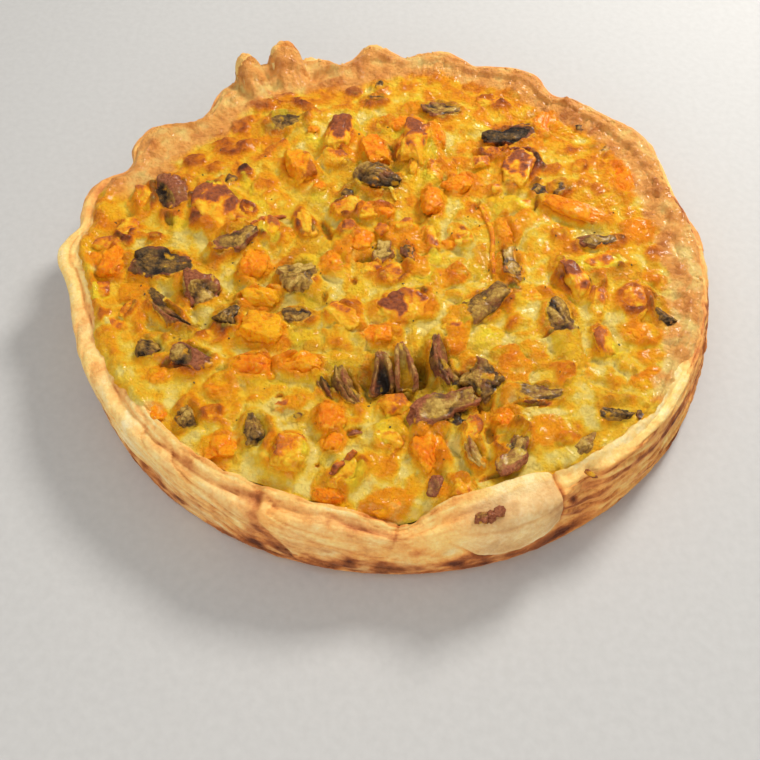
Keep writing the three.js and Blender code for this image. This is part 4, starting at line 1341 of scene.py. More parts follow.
def bare_custard(x, y, uneven, crisp, inside):
    """The height of the custard's top and the numbers that colour it, before its swells, the
    pieces in it and its holes."""
    place = flat_points(x, y)
    busy = smooth(Noise(10)(place, 45) + 0.9 - np.hypot(x - 5, y + 8) / 95, -0.25, 0.45)
    big, own = diced(x, y, 13, 60)
    little, _ = diced(x, y, 5.5, 64)
    kind = own[..., 3]
    relief = (0.8 + 2.2 * busy) * (big - 0.45) + (0.5 + 0.5 * busy) * (little - 0.45)
    relief += 0.7 * Noise(3).layers(place, 24, 2) + 0.9 * crisp + 0.7 * Noise(6).layers(place, 2.8, 2)
    back = smooth(y - 0.2 * x, -110, 120)
    right = smooth(x, 30, 100)
    toast = 0.25 + 0.19 * back + 0.07 * right + 0.40 * crisp + 0.20 * Noise(11).layers(place, 26, 3)
    toast += 0.20 * busy * (kind - 0.5)
    spread = busy * smooth(big, 0.05, 0.35)
    return {
        "height": level(x, y) + relief,
        "toast": toast,
        "orange": 0.55 * spread * (kind > 0.72),
        "lemon": 0.5 * spread * ((kind > 0.25) & (kind < 0.42)),
        # Painted shade in the creases between the lumps, most where the top is busy.
        "grey": (0.10 + 0.42 * busy) * (1 - smooth(big, 0.0, 0.34)) - 0.10 * (1 - busy),
        "dough": dough_edge(x, y, inside + 4 * uneven),
    }


def add_swells(x, y, uneven, crisp, values):
    """Raises and colours the custard at its swells."""
    for *outline, rise, strength in BROWN_SWELLS:
        shape = swell_shape(x, y, uneven, outline)
        values["height"] += 1.5 * rise * shape
        values["toast"] += strength * shape * (0.75 + 0.9 * crisp)
    for *outline, rise, strength in PALE_SWELLS:
        shape = swell_shape(x, y, uneven, outline)
        values["height"] += rise * shape
        values["toast"] -= strength * shape
    lists = {"orange": ORANGE_SWELLS, "lemon": LEMON_SWELLS, "grey": SHADE_SWELLS}
    for key, swells in lists.items():
        for *outline, rise, strength in swells:
            shape = swell_shape(x, y, uneven, outline)
            values["height"] += 1.3 * rise * shape
            values[key] = np.maximum(values[key], strength * shape)


def add_climb(x, y, uneven, inside, values):
    """Lets the custard climb some way up each piece, unevenly. Round squash it takes on some orange, and
    round mushrooms it gets a ring of painted shade.
    """
    for topping in ALL_TOPPINGS:
        along, across = topping.local(x, y)
        reach = np.hypot(along, across)
        shows = topping.middle[2] + topping.size[2] / 2 - level(*topping.middle[:2])
        climb = np.clip(0.5 * shows + 2.6 * uneven, 0, 3.5) * smooth(inside, 1, 9)
        values["height"] += climb * bell(reach, 0.9, 0.35)
        if kind_of(topping) == "squash":
            values["orange"] = np.maximum(values["orange"], 0.6 * (1 - smooth(reach, 0.95, 1.45)))
        if kind_of(topping) == "mushroom":
            # A ring of painted shade round each mushroom.
            values["grey"] = np.maximum(values["grey"], 0.42 * (1 - smooth(reach, 0.95, 1.35)))


def add_holes(x, y, uneven, values):
    """Sinks the custard's holes and paints shade into them."""
    for *outline, depth in HOLES:
        shape = swell_shape(x, y, 0.3 * uneven, outline)
        values["height"] -= depth * shape
        values["toast"] += 0.7 * shape
        values["grey"] = np.maximum(values["grey"], 0.5 * shape)


def custard_fields(x, y):
    """The custard's height and the numbers that colour it, at places on its top."""
    place = flat_points(x, y)
    uneven = Noise(8).layers(place, 5, 3)
    crisp = Noise(9).layers(place, 9, 4)
    inside = lip_radius(x, y) - np.hypot(x, y)
    values = bare_custard(x, y, uneven, crisp, inside)
    add_swells(x, y, uneven, crisp, values)
    add_climb(x, y, uneven, inside, values)
    # The browning slows down where much of it comes together.
    toast = values["toast"]
    values["toast"] = np.where(toast > 0.55, 0.55 + 0.45 * (toast - 0.55), toast)
    add_holes(x, y, uneven, values)
    values["toast"] = np.clip(values["toast"], 0.0, 1.0)
    return values.pop("height"), values


def disc_grid(count):
    """A square grid of places bent into a round disc of radius 1."""
    line = np.linspace(-1, 1, count)
    a, b = np.meshgrid(line, line, indexing="ij")
    x = a * np.sqrt(1 - b * b / 2)
    y = b * np.sqrt(1 - a * a / 2)
    return x, y


def border(count):
    """The point numbers round the edge of a square grid, counter-clockwise."""
    index = np.arange(count * count).reshape(count, count)
    return np.concatenate([index[:-1, 0], index[-1, :-1], index[:0:-1, -1], index[0, :0:-1]])


# Points along each side of the custard's grid.
CUSTARD_COUNT = 300
# The angles where the custard stays under the front ribbon, and the degrees of the change.
TUCKED = (228, 292, 10)
# How far the skin's last points lie past the custard's reach in mm, hidden in the dough.
PAST_REACH = 1.2
# The underside's radius as a share of the top's.
FOOT_SHARE = 0.94
# How far up the left rim the custard reaches: angles, and the share from the lip to the crest.
LEFT_REACH = [
    (152, 1.0),
    (164, 0.60),
    (182, 0.42),
    (194, 0.30),
    (203, 0.62),
    (213, 0.55),
    (226, 0.0),
]


def overlap(angle):
    """How far the custard runs over the crust's lip, in mm. It stays under the front ribbon, and
    it reaches the crest of the back and right rim."""
    crest = at_angle(SECTIONS[:, CREST + 1, 0], angle)
    lip = at_angle(SECTIONS[:, LIP, 0], angle)
    at, share = np.array(LEFT_REACH).T
    left = np.interp(angle % 360, at, share) * between(angle, 150, 228, 1)
    covered = np.maximum(between(angle, 335, 156, 6), left)
    over = 1.5 + 1.5 * between(angle, 322, 172, 10)
    over = over * (1 - covered) + covered * np.maximum(crest - lip, 4.0)
    return over - 3.1 * between(angle, *TUCKED)


def blurred(grid):
    reach = 7
    kernel = bell(np.arange(-reach, reach + 1), 0, 4.5)
    padded = np.pad(grid, reach, mode="edge")
    return convolved(padded, kernel / kernel.sum())[reach:-reach, reach:-reach]


def custard_top(rim):
    """The finished top: its places, its heights and the numbers that colour it."""
    unit_x, unit_y = disc_grid(CUSTARD_COUNT)
    angle = np.degrees(np.arctan2(unit_y, unit_x))
    lip = lip_radius(unit_x, unit_y)
    over = overlap(angle)
    x, y = unit_x * (lip + over + PAST_REACH), unit_y * (lip + over + PAST_REACH)
    height, values = custard_fields(x, y)
    relief = height - level(x, y)
    past_lip = np.hypot(x, y) - lip
    place = flat_points(x, y)
    fine = Noise(64).layers(place, 2.5, 2)
    # Past the lip the custard lies on the dough as a skin that thins out and ends raggedly.
    skin = 1.1 - 2.4 * smooth(past_lip + 1.3 * Noise(63).layers(place, 5, 2), over - 3.0, over + 1.0)
    skin = skin + 0.25 * fine
    under = -0.6 + 0.3 * fine
    tucked = between(angle, *TUCKED)
    lumpy = 0.45 * relief * smooth(skin, 0.0, 1.0)
    edge_height = rim(x, y) + (skin + lumpy) * (1 - tucked) + under * tucked
    blend = smooth(past_lip, -11 + 6 * tucked, 0)
    height = height * (1 - blend) + edge_height * blend
    rough = blend * (1 - tucked)
    height += 0.5 * rough * Noise(65).layers(place, 4, 3)
    values["toast"] = np.clip(values["toast"] - 0.03 * rough, 0, 1)
    values["grey"] = values["grey"] * (1 - rough)
    # What stands out bakes browner, and what lies low gets painted shade.
    bump = (height - blurred(height)) * (1 - 0.7 * blend)
    values["toast"] = np.clip(values["toast"] + 0.17 * np.clip(bump, -1.5, 2.0), 0, 1)
    values["grey"] = np.clip(values["grey"] + 0.14 * np.clip(-bump - 0.5, 0, 2), 0, 1)
    return flat_points(x, y, height).reshape(-1, 3), values


def custard(rim):
    """Makes the filling: its top, a side that stays within the shell, and its flat underside."""
    top, values = custard_top(rim)
    quads = grid_quads(CUSTARD_COUNT, CUSTARD_COUNT)
    edge = border(CUSTARD_COUNT)
    floor_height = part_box("filling")[0][2] / MM
    skirt = top[edge] * [FOOT_SHARE, FOOT_SHARE, 0] + [0, 0, floor_height]
    first = len(top)
    ring = first + np.arange(len(edge))
    side = np.column_stack([edge, ring, np.roll(ring, -1), np.roll(edge, -1)])
    points = np.concatenate([top, skirt, [[0, 0, floor_height]]])
    middle = len(points) - 1
    bottom = np.column_stack([ring, np.full(len(ring), middle), np.roll(ring, -1)])
    faces = [*quads.tolist(), *side.tolist(), *bottom.tolist()]
    below = {key: np.full(len(edge) + 1, part.mean()) for key, part in values.items()}
    numbers = {key: np.append(part.reshape(-1), below[key]) for key, part in values.items()}
    piece = make_piece("custard", points, faces, custard_material(), numbers)
    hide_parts("filling")


# ---- Toppings -----------------------------------------------------------------------------------


def boxed(direction, power):
    """Points of a rounded box in the given directions: power 2 is a ball, and more is squarer."""
    length = np.sum(np.abs(direction) ** power, axis=1) ** (-1 / power)
    return direction * length[:, None]


def trimmed(shape, rng, cuts, depth):
    """Cuts slanting flat faces off a shape, and tells how deep each point lay outside them."""
    taken = np.zeros(len(shape))
    for _ in range(cuts):
        normal = rng.normal(size=3) * [1, 1, 0.8] + [0, 0, 0.35]
        normal /= np.linalg.norm(normal)
        reach = (shape @ normal).max()
        over = np.clip(shape @ normal - reach * (1 - depth * rng.uniform(0.6, 1.4)), 0, None)
        shape = shape - 0.9 * over[:, None] * normal
        taken = np.maximum(taken, over)
    return shape, taken


def leaning(shape, rng, most):
    """Tips a shape by up to most degrees each way and fits it into its box again."""
    tip, roll = np.radians(rng.uniform(-most, most, size=2))
    x, y, z = shape.T
    y, z = turned(y, z, tip)
    x, z = turned(x, z, roll)
    shape = np.column_stack([x, y, z])
    return shape / np.abs(shape).max(axis=0)


def fitted(shape, most=1.06):
    """Keeps a shape within a little more than one unit each way."""
    return shape / np.maximum(np.abs(shape).max(axis=0) / most, 1)


# How finely a topping is divided: the least size in mm, and the cuts of its ball's sides.
FINENESS = ((13, 22), (8, 16), (0, 8))


def ball_for(topping):
    size = max(topping.size[:2])
    return next(BALLS[cuts] for least, cuts in FINENESS if size > least)


def noise_places(topping, shape, seed, apart):
    """Places at which noise is read for a shape. They have the shape's true proportions, are
    bent so that the noise has no straight runs, and lie farther on for each seed."""
    places = shape * topping.size / topping.size.max() + seed * apart
    shift = [Noise(70 + axis)(places + seed, 0.7) for axis in range(3)]
    return places + 0.3 * np.stack(shift, axis=-1)


def surface_values(points, cover=1.4):
    """How far the custard's film climbs a piece, with the custard's own numbers under it."""
    height, values = custard_fields(points[:, 0], points[:, 1])
    above = points[:, 2] - height
    uneven = Noise(31).layers(points, 5, 3)
    patches = smooth(uneven, 0.25, 0.45)
    values["film"] = np.maximum(1 - smooth(above + 1.6 * uneven, -0.4, cover), 0.6 * patches)
    return values, above


def squash_cube(topping, seed, crisp=0.5):
    rng = np.random.default_rng(seed)
    direction, quads = ball_for(topping)
    shape, _ = trimmed(leaning(boxed(direction, 5), rng, 22), rng, 4, 0.25)
    there = noise_places(topping, shape, seed, 17.0)
    lump = Noise(40).layers(there, 0.8, 2)
    pits = folds(49, there, 0.4, 0.12)
    rough = Noise(39).layers(there, 0.22, 2)
    corner = smooth(np.linalg.norm(shape, axis=1), 1.0, 1.35)
    points = topping.put(fitted(shape * (1 + 0.26 * lump - 0.10 * pits + 0.08 * rough)[:, None]))
    values, above = surface_values(points)
    rise = np.clip(above / max(topping.size[2] / 2, 1), 0, 1)
    patch = Noise(32).layers(points, 6, 3)
    # Browner at the corners, high up and in patches; the share in the pits is painted shade.
    values["brown"] = crisp * smooth(0.5 * corner + 0.4 * rise + 1.1 * patch + 0.2 * pits, 0.35, 1.1)
    lighter = LIGHTNESS.get(topping.name, 0.0)
    # Lighter on the bulges and darker in the pits: painted highlight and painted shade. LIGHTNESS is each
    # piece's own tone.
    values["light"] = 0.5 + lighter + 0.5 * lump - 0.35 * pits + 0.25 * rough
    return points, quads, values


def cheese_lump(topping, seed, crisp=0.6):
    rng = np.random.default_rng(seed)
    direction, quads = ball_for(topping)
    shape, _ = trimmed(leaning(boxed(direction, 4), rng, 18), rng, 3, 0.25)
    there = noise_places(topping, shape, seed, 13.0)
    lump = Noise(41).layers(there, 0.75, 3)
    crease = folds(38, there, 0.5, 0.12)
    points = topping.put(fitted(shape * (1 + 0.30 * lump - 0.10 * crease)[:, None]))
    values, above = surface_values(points)
    rise = np.clip(above / max(topping.size[2] / 2, 1), 0, 1)
    patch = Noise(33).layers(points, 6, 3)
    farther = (points[:, 1] - topping.middle[1]) / max(topping.size[:2])
    browned = smooth(0.6 * rise + 1.0 * farther + 1.2 * patch + 0.4 * lump, 0.0, 0.85)
    # A little darker in the creases: partly browning, partly painted shade.
    values["crisp"] = np.minimum(0.24 + 0.2 * patch + 0.1 * crease + 0.62 * crisp * browned, 0.80)
    values["film"] = np.maximum(values["film"], 0.15 + 0.9 * Noise(36).layers(points, 7, 2) - 0.4 * browned)
    return points, quads, values


def mushroom_chunk(topping, seed, tone=0.5, red=0.15):
    """A quarter of a mushroom: a brown wrinkled skin, and a paler cut face with dark gills."""
    rng = np.random.default_rng(seed)
    direction, quads = ball_for(topping)
    shape, taken = trimmed(leaning(boxed(direction, 3), rng, 25), rng, 2, 0.42)
    face = smooth(taken, 0.02, 0.12)
    there = noise_places(topping, shape, seed, 11.0)
    lump = Noise(43).layers(there, 0.8, 2)
    crease = folds(42, there, 0.5, 0.10)
    fine = Noise(46).layers(there, 0.2, 2)
    way = rng.uniform(0, math.tau)
    across = shape[:, 0] * math.cos(way) + shape[:, 1] * math.sin(way) + 0.5 * lump
    gills = bell(across, 0.25, 0.22) * face
    dent = 0.30 * lump - 0.16 * crease - 0.08 * fine - 0.12 * gills
    points = topping.put(fitted(shape * (1 + dent)[:, None]))
    values, above = surface_values(points)
    # Darker in the creases and low down by the custard, and lighter on the bumps: painted shade and painted
    # highlight. The paler cut face and the dark gills are its own colour.
    low = 1 - smooth(above, 0.0, 0.6 * topping.size[2])
    edge = bell(taken, 0.05, 0.04)
    tone = tone - 0.20 * face + 0.45 * gills + 0.26 * crease
    values["tone"] = tone - 0.45 * lump - 0.12 * fine + 0.22 * low
    values["red"] = red * (1 - 0.6 * face) + 0.5 * Noise(47)(points, 6) + 0.4 * edge
    return points, quads, values


def slice_outline(x):
    """Half the width of a mushroom slice at x: a domed cap at 1, its gills, then the stem to -1."""
    cap = np.sqrt(np.clip(1 - ((x - 0.12) / 0.9) ** 2, 0, 1)) * smooth(x, -0.42, -0.02)
    stem = 0.46 * np.sqrt(np.clip((1 + x) / 0.15, 0, 1)) * (1 - smooth(x, 0.1, 0.6))
    return np.maximum(cap, stem)


def mushroom_slice(topping, seed, tone=0.5, red=0.15):
    """A slice of cap and stem with its skin along the cap's edge, curled by the heat."""
    rng = np.random.default_rng(seed)
    direction, quads = ball_for(topping)
    shape = boxed(direction, 4)
    ball_width = (np.clip(1 - shape[:, 0] ** 4, 1e-6, 1)) ** 0.25
    outline = 0.45 + 0.55 * slice_outline(shape[:, 0])
    side = shape[:, 1] / np.maximum(ball_width, 0.4)
    shape[:, 1] = side * outline * ball_width
    there = noise_places(topping, shape, seed, 7.0)
    lump = Noise(45).layers(there, 0.7, 2)
    crease = folds(44, there, 0.45, 0.10)
    fine = Noise(46).layers(there, 0.2, 2)
    gills = bell(shape[:, 0] + 0.3 * lump, -0.12, 0.22) * smooth(np.abs(side), 0.25, 0.5)
    skin = smooth(np.hypot(side, np.clip(shape[:, 0] + 0.1, 0, 1)) + 0.3 * lump, 0.75, 0.95)
    shape = shape * (1 + 0.32 * lump - 0.14 * crease - 0.08 * fine - 0.10 * gills)[:, None]
    curl = rng.uniform(-0.5, 0.5, size=3)
    shape[:, 2] += curl[0] * (shape[:, 0] ** 2 - 0.4) + curl[1] * shape[:, 1] + 0.25 * skin
    shape[:, 1] += 0.8 * curl[2] * (shape[:, 0] ** 2 - 0.4)
    points = topping.put(fitted(shape))
    values, above = surface_values(points)
    # Darker in the creases and low down by the custard, and lighter on the bumps: painted shade and painted
    # highlight. The dark gills and skin are its own colour.
    low = 1 - smooth(above, 0.0, 0.6 * topping.size[2])
    rest = 0.40 * gills + 0.24 * crease - 0.45 * lump - 0.12 * fine
    values["tone"] = tone - 0.10 + 0.12 * skin + 0.22 * low + rest
    values["red"] = red + 0.5 * Noise(47)(points, 6) + 0.5 * skin
    return points, quads, values


def mushroom_tent(topping, seed, tone=0.4, red=0.3):
    """A folded slice: two thin walls that start together and part towards the near end."""
    rng = np.random.default_rng(seed)
    direction, quads = BALLS[22]
    shape = boxed(direction, 5)
    up = shape[:, 2].copy()
    side = shape[:, 1] / np.maximum(np.clip(1 - np.abs(shape[:, 0]) ** 5, 1e-6, 1) ** 0.2, 0.5)
    end = -math.copysign(1, math.sin(topping.turn))
    there = noise_places(topping, shape, seed, 5.0)
    lump = Noise(35).layers(there, 0.7, 3)
    crease = folds(34, there, 0.4, 0.12)
    ragged = Noise(37).layers(shape * [1, 0.3, 0] + seed * 3.0, 0.5, 3)
    nearer = (end * shape[:, 0] + 1) / 2
    inside = smooth(0.40 + 0.32 * nearer - np.abs(side) - 0.2 * lump, 0.0, 0.18) * smooth(nearer, 0.12, 0.4)
    filled = TENTS[topping.name]
    shape[:, 2] -= (0.9 + 0.6 * filled) * inside * smooth(up, 0.0, 0.6)
    shape[:, 1] *= 0.55 + 0.95 * nearer
    shape = shape * (1 + 0.22 * lump - 0.10 * crease)[:, None]
    shape[:, 2] += 0.5 * ragged * smooth(up, 0.2, 1.0) - 0.35 * nearer**2 * smooth(up, -0.2, 0.6)
    shape[:, 1] += rng.uniform(-0.3, 0.3) * (shape[:, 0] ** 2 - 0.4)
    points = topping.put(fitted(shape, [1.06, 1.45, 1.06]))
    values, _ = surface_values(points, 1.6)
    edge = bell(inside, 0.25, 0.3) * smooth(up, 0.0, 0.5)
    values["film"] = np.maximum(values["film"], filled * smooth(inside, 0.4, 0.8))
    # Darker inside an empty fold and in the creases, and lighter on the bumps: painted shade and painted
    # highlight.
    values["tone"] = tone + 0.15 + (0.5 - filled) * inside - 0.30 * edge + 0.2 * crease - 0.6 * lump
    values["red"] = red + 0.3 * edge + 0.5 * Noise(47)(points, 6)
    return points, quads, values


def mushroom_blade(topping, seed, tone=0.5, red=0.15):
    """A slice that stands on its edge: a ragged pale ridge between dark sides."""
    rng = np.random.default_rng(seed)
    direction, quads = ball_for(topping)
    shape = boxed(direction, 4)
    side = smooth(direction[:, 1], -0.5, 0.5)
    up = shape[:, 2].copy()
    there = noise_places(topping, shape, seed, 5.0)
    lump = Noise(35).layers(there, 0.6, 3)
    crease = folds(34, there, 0.4, 0.12)
    ragged = Noise(37).layers(shape * [1, 0, 0] + seed * 3.0, 0.4, 3)
    shape[:, 1] *= 1.0 - 0.6 * smooth(up, -0.4, 1.0)
    depth, middle = rng.uniform(0.2, 0.8), rng.uniform(-0.15, 0.15)
    folded = depth * bell(shape[:, 1], middle, 0.25) * smooth(up, 0.1, 1.0)
    shape[:, 2] -= folded
    shape = shape * (1 + 0.34 * lump - 0.14 * crease)[:, None]
    shape[:, 2] += 0.75 * ragged * smooth(up, 0.0, 1.0) - 0.3 * shape[:, 0] ** 2
    bow, lean = rng.uniform(-1, 1, size=2) * [0.8, 0.4]
    shape[:, 1] += bow * (shape[:, 0] ** 2 - 0.4) + lean * smooth(up, -0.5, 1.0)
    points = topping.put(fitted(shape))
    values, _ = surface_values(points, 1.6)
    ridge = smooth(up + 0.4 * lump - folded, 0.55, 0.95)
    # Darker in the creases and lighter on the bumps: painted shade and painted highlight. The pale ridge is
    # its own colour.
    values["tone"] = tone + 0.26 - 0.30 * ridge - 0.22 * side + 0.2 * crease - 0.6 * lump - 0.3 * folded
    values["red"] = red + 0.4 * ridge + 0.3 * side + 0.5 * Noise(47)(points, 6)
    return points, quads, values


def berry(topping, seed):
    """A dried berry: a wrinkled lump like a chunk of mushroom, but dark red all over."""
    return mushroom_chunk(topping, seed, 0.35, 1.6)


# How dark each mushroom is, from 0 to 1, and how reddish, where it isn't the middle value.
MUSHROOM_TONES = {
    "mushroom_01": (0.38, 0.7),
    "mushroom_02": (0.24, 0.8),
    "mushroom_03": (0.45, 0.12),
    "mushroom_04": (0.46, 0.12),
    "mushroom_05": (0.52, 0.4),
    "mushroom_06": (0.15, 0.0),
    "mushroom_07": (0.48, 0.2),
    "mushroom_08": (0.46, 0.1),
    "mushroom_09": (0.38, 0.0),
    "mushroom_10": (0.34, 0.2),
    "mushroom_11": (0.46, 0.1),
    "mushroom_12": (0.46, 0.0),
    "mushroom_13": (0.32, 0.12),
    "mushroom_14": (0.16, 0.1),
    "mushroom_15": (0.44, 0.12),
    "mushroom_16": (0.18, 0.12),
    "mushroom_17": (0.34, 0.12),
    "mushroom_slice_01": (0.55, 0.0),
    "mushroom_slice_04": (0.88, 0.0),
    "mushroom_slice_05": (0.45, 0.12),
    "mushroom_slice_07": (0.24, 0.0),
    "mushroom_slice_08": (0.04, 0.1),
    "mushroom_slice_09": (0.26, 0.2),
    "mushroom_slice_10": (0.34, 0.3),
    "mushroom_slice_11": (0.12, 0.4),
    "mushroom_slice_12": (0.42, 0.4),
    "mushroom_slice_13": (0.48, 0.12),
    "mushroom_slice_14": (0.34, 0.3),
    "mushroom_slice_15": (0.18, 0.3),
    "mushroom_slice_16": (0.02, 0.0),
}
MIDDLE_TONE = (0.38, 0.12)
# The slices that stand on their edges.
STANDING = (
    "mushroom_slice_02",
    "mushroom_slice_09",
    "mushroom_slice_12",
    "mushroom_slice_16",
)
# The folded slices, and how far custard fills them.
TENTS = {
    "mushroom_slice_10": 0.0,
    "mushroom_slice_11": 0.9,
}
# How browned some squash and cheese is, where it isn't the middle value.
CRISPNESS = {
    "squash_02": 0.1,
    "squash_05": 0.6,
    "squash_07": 0.7,
    "squash_08": 0.1,
    "squash_11": 0.0,
    "squash_12": 0.1,
    "squash_15": 0.9,
    "cheese_01": 1.2,
    "cheese_02": 1.3,
    "cheese_03": 0.9,
    "cheese_04": 1.5,
    "cheese_05": 0.5,
    "cheese_06": 0.0,
    "cheese_07": 0.9,
    "cheese_08": 1.2,
}
MIDDLE_CRISPNESS = 0.5
# How much lighter and yellower some squash is than the rest.
LIGHTNESS = {
    "squash_03": 0.45,
    "squash_04": 0.42,
    "squash_06": 0.25,
    "squash_07": 0.30,
    "squash_11": -0.15,
    "squash_15": -0.2,
}


def node_topping(topping, seed, materials):
    kind = kind_of(topping)
    tone, red = MUSHROOM_TONES.get(topping.name, MIDDLE_TONE)
    crisp = CRISPNESS.get(topping.name, MIDDLE_CRISPNESS)
    if topping.name in STANDING:
        shape = mushroom_blade(topping, seed, tone, red)
    elif topping.name in TENTS:
        shape = mushroom_tent(topping, seed, tone, red)
    elif topping.name.startswith("mushroom_slice"):
        shape = mushroom_slice(topping, seed, tone, red)
    elif kind == "mushroom":
        shape = mushroom_chunk(topping, seed, tone, red)
    elif kind == "squash":
        shape = squash_cube(topping, seed, crisp)
    else:
        shape = cheese_lump(topping, seed, crisp)
    piece = make_piece(f"{topping.name}_look", *shape[:2], materials[kind], shape[2])
    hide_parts(topping.name)


def small_toppings(materials):
    makers = {
        "chunk": mushroom_chunk,
        "blade": mushroom_blade,
        "cube": squash_cube,
        "lump": cheese_lump,
        "berry": berry,
    }
    kinds = {
        "small_mushroom": ("mushroom", SMALL_MUSHROOMS),
        "small_squash": ("squash", SMALL_SQUASH),
        "small_cheese": ("cheese", SMALL_CHEESE),
        "dried_berry": ("mushroom", BERRIES),
    }
    for name, (kind, toppings) in kinds.items():
        shapes = [makers[topping.name](topping, 200 + i) for i, topping in enumerate(toppings)]
        points, quads, values = join_shapes(shapes)
        piece = make_piece(name, points, quads, materials[kind], values)


# Thin browned strips of vegetable on the custard: width in mm, how crisp, and the places along.
STRIPS = [
    (2.0, 0.45, [(33, 24), (36, 15), (38, 5), (37, -5), (37, -16)]),
    (2.4, 0.75, [(-22, -102), (-18, -97), (-13, -93)]),
    (1.8, 0.65, [(-56, 8), (-50, 14), (-42, 16)]),
    (1.6, 0.15, [(-5, 33), (-1, 29), (1, 24)]),
    (1.6, 0.70, [(44, 50), (50, 54), (57, 52)]),
]
STRIP_SIDES = 10
STRIP_STEPS = 48


def strip(width, crisp, places, seed):
    """One strip: a flat ribbon with blunt ends that lies along its places."""
    run = np.linspace(0, 1, STRIP_STEPS)
    known = np.linspace(0, 1, len(places))
    x, y = (np.interp(run, known, part) for part in np.array(places, float).T)
    x, y = (np.convolve(np.pad(part, 4, mode="edge"), np.full(9, 1 / 9), "valid") for part in (x, y))
    along = np.stack([np.gradient(x), np.gradient(y)])
    along /= np.hypot(*along)
    thick = 0.5 * width * np.clip(1 - (2 * run - 1) ** 6, 0, 1) ** 0.5
    thick = thick * (1 + 0.35 * Noise(seed)(flat_points(run * 30, seed), 5))
    turn = np.arange(STRIP_SIDES) * math.tau / STRIP_SIDES
    side = np.cos(turn)[:, None] * thick
    up = 0.7 * np.sin(turn)[:, None] * thick
    ground = custard_fields(x, y)[0]
    points = flat_points(x - along[1] * side, y + along[0] * side, ground + 0.35 + up)
    points = points.reshape(-1, 3)
    quads = grid_quads(STRIP_SIDES, STRIP_STEPS)
    first = np.arange(STRIP_STEPS - 1)
    last = (STRIP_SIDES - 1) * STRIP_STEPS + first
    seam = np.column_stack([last, last + 1, first + 1, first])
    values, _ = surface_values(points, 0.3)
    values["crisp"] = crisp + 0.3 * Noise(seed)(points, 3)
    return points, np.concatenate([quads, seam]), values


HERB_COUNT = 90
CRUMB_COUNT = 55


def herb_specks():
    """Tiny flakes of dried herb, most of them on the near half."""
    rng = np.random.default_rng(5)
    direction, quads = BALLS[3]
    shapes = []
    for _ in range(HERB_COUNT):
        radius = 100 * rng.uniform() ** 0.5
        x, y = turned(radius, 0.0, rng.uniform(0, math.tau))
        if y > rng.uniform(-20, 120):
            y = -y
        size = rng.uniform(0.4, 1.0)
        z = float(custard_fields(np.array([x]), np.array([y]))[0][0])
        flake = Topping("flake", (x, y, z + 0.1), (size, 0.55 * size, 0.5), rng.uniform(0, 180))
        ragged = direction * (1 + 0.4 * rng.normal(size=(len(direction), 1)))
        shapes.append((flake.put(ragged), quads, {}))
    return shapes


def rim_crumbs(rim):
    """Loose crumbs and flakes of pastry along the back and right rim."""
    rng = np.random.default_rng(6)
    direction, quads = BALLS[3]
    shapes = []
    for _ in range(CRUMB_COUNT):
        angle = rng.uniform(-25, 150)
        inward = rng.uniform(1.0, 5.0)
        outer = float(at_angle(SECTIONS[:, CREST + 1, 0], np.array(angle)))
        x, y = turned(outer - inward, 0.0, math.radians(angle))
        size = rng.uniform(0.8, 1.9)
        z = float(rim(np.array([x]), np.array([y]))[0])
        crumb = Topping("crumb", (x, y, z + 0.6), (size, 0.7 * size, 0.6 * size), rng.uniform(0, 180))
        lumpy = direction * (1 + 0.22 * rng.normal(size=(len(direction), 1)))
        bake = np.full(len(direction), rng.uniform(0.15, 0.45))
        glaze = np.full(len(direction), 0.7)
        shapes.append((crumb.put(lumpy), quads, {"bake": bake, "glaze": glaze, "thin": 0 * glaze}))
    return shapes


def small_extras(rim, materials):
    """The strips, the herb specks and the crumbs: one piece of each kind."""
    strips = [strip(*numbers, 80 + i) for i, numbers in enumerate(STRIPS)]
    pieces = (
        ("vegetable_strips", strips, materials["cheese"], "cheese"),
        ("herb_specks", herb_specks(), herb_material(), "mushroom"),
        ("rim_crumbs", rim_crumbs(rim), materials["pastry"], "pastry"),
    )
    for name, shapes, material, slot in pieces:
        points, quads, values = join_shapes(shapes)
        make_piece(name, points, quads, material, values)


# ---- Stage --------------------------------------------------------------------------------------

# The camera's target, its height above the table in degrees, its distance, and its field of view.
CAMERA_TARGET = (-5.7, -42.1, 0)
CAMERA_RISE = 54.6
CAMERA_DISTANCE = 360.2
CAMERA_ANGLE = 44
# Name, place, size, power and colour.
LAMPS = [
    ("window", (420, 520, 620), 260, 7.8, (1.0, 0.97, 0.92)),
    ("ceiling", (-250, -100, 800), 500, 1.2, (1.0, 0.98, 0.95)),
    ("front", (-150, -800, 330), 500, 2.5, (1.0, 0.98, 0.95)),
]
LAMP_TARGET = (0, 0, 20)
ROOM_COLOUR = (1.0, 0.985, 0.96)
ROOM_STRENGTH = 0.42
# Half the floor's side, and its height, just under the tart.
FLOOR_REACH = 2500
FLOOR_HEIGHT = -0.2


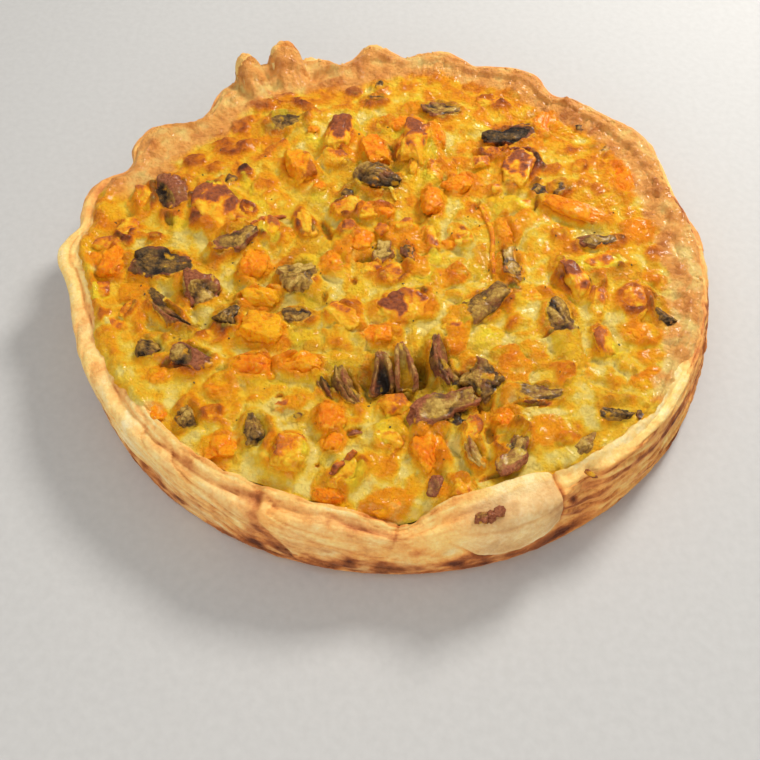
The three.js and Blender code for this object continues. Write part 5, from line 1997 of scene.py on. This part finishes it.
def aimed(obj, place, target):
    obj.location = Vector(place) * MM
    obj.rotation_euler = (Vector(target) - Vector(place)).to_track_quat("-Z", "Y").to_euler()
    bpy.context.scene.collection.objects.link(obj)


def camera():
    data = bpy.data.cameras.new("camera")
    data.angle = math.radians(CAMERA_ANGLE)
    data.clip_start = 0.01
    rise = math.radians(CAMERA_RISE)
    away = Vector((0, -math.cos(rise), math.sin(rise))) * CAMERA_DISTANCE
    target = Vector(CAMERA_TARGET)
    obj = bpy.data.objects.new("camera", data)
    aimed(obj, target + away, target)
    bpy.context.scene.camera = obj


def lamp(name, place, size, power, colour):
    data = bpy.data.lights.new(name, "AREA")
    data.shape = "DISK"
    data.size = size * MM
    data.energy = power
    data.color = colour
    aimed(bpy.data.objects.new(name, data), place, LAMP_TARGET)


def floor():
    shader = Shader("pale_floor")
    grain = shader.noise(3, 2)
    colour = shader.ramp(grain, (0.3, (0.50, 0.495, 0.485)), (0.7, (0.53, 0.525, 0.515)))
    material = shader.finish(colour, 0.7, grain, 0.05)
    side, low = FLOOR_REACH, FLOOR_HEIGHT
    corners = [(-side, -side, low), (side, -side, low), (side, side, low), (-side, side, low)]
    mesh = bpy.data.meshes.new("floor")
    mesh.from_pydata([tuple(MM * v for v in corner) for corner in corners], [], [(0, 1, 2, 3)])
    mesh.materials.append(material)
    obj = bpy.data.objects.new("floor", mesh)
    bpy.context.scene.collection.objects.link(obj)


def stage():
    camera()
    floor()
    world = bpy.data.worlds.new("soft_room")
    world.use_nodes = True
    background = world.node_tree.nodes["Background"]
    background.inputs["Color"].default_value = (*ROOM_COLOUR, 1)
    background.inputs["Strength"].default_value = ROOM_STRENGTH
    bpy.context.scene.world = world
    for numbers in LAMPS:
        lamp(*numbers)
    bpy.context.scene.view_settings.view_transform = "Standard"


# ---- The whole ----------------------------------------------------------------------------------

stage()
materials_of = {
    "pastry": pastry_material(),
    "mushroom": mushroom_material(),
    "squash": squash_material(),
    "cheese": cheese_material(),
}
finished_rim = crust(materials_of["pastry"])
custard(finished_rim)
for number, node in enumerate(NODE_TOPPINGS):
    node_topping(node, number, materials_of)
small_toppings(materials_of)
small_extras(finished_rim, materials_of)
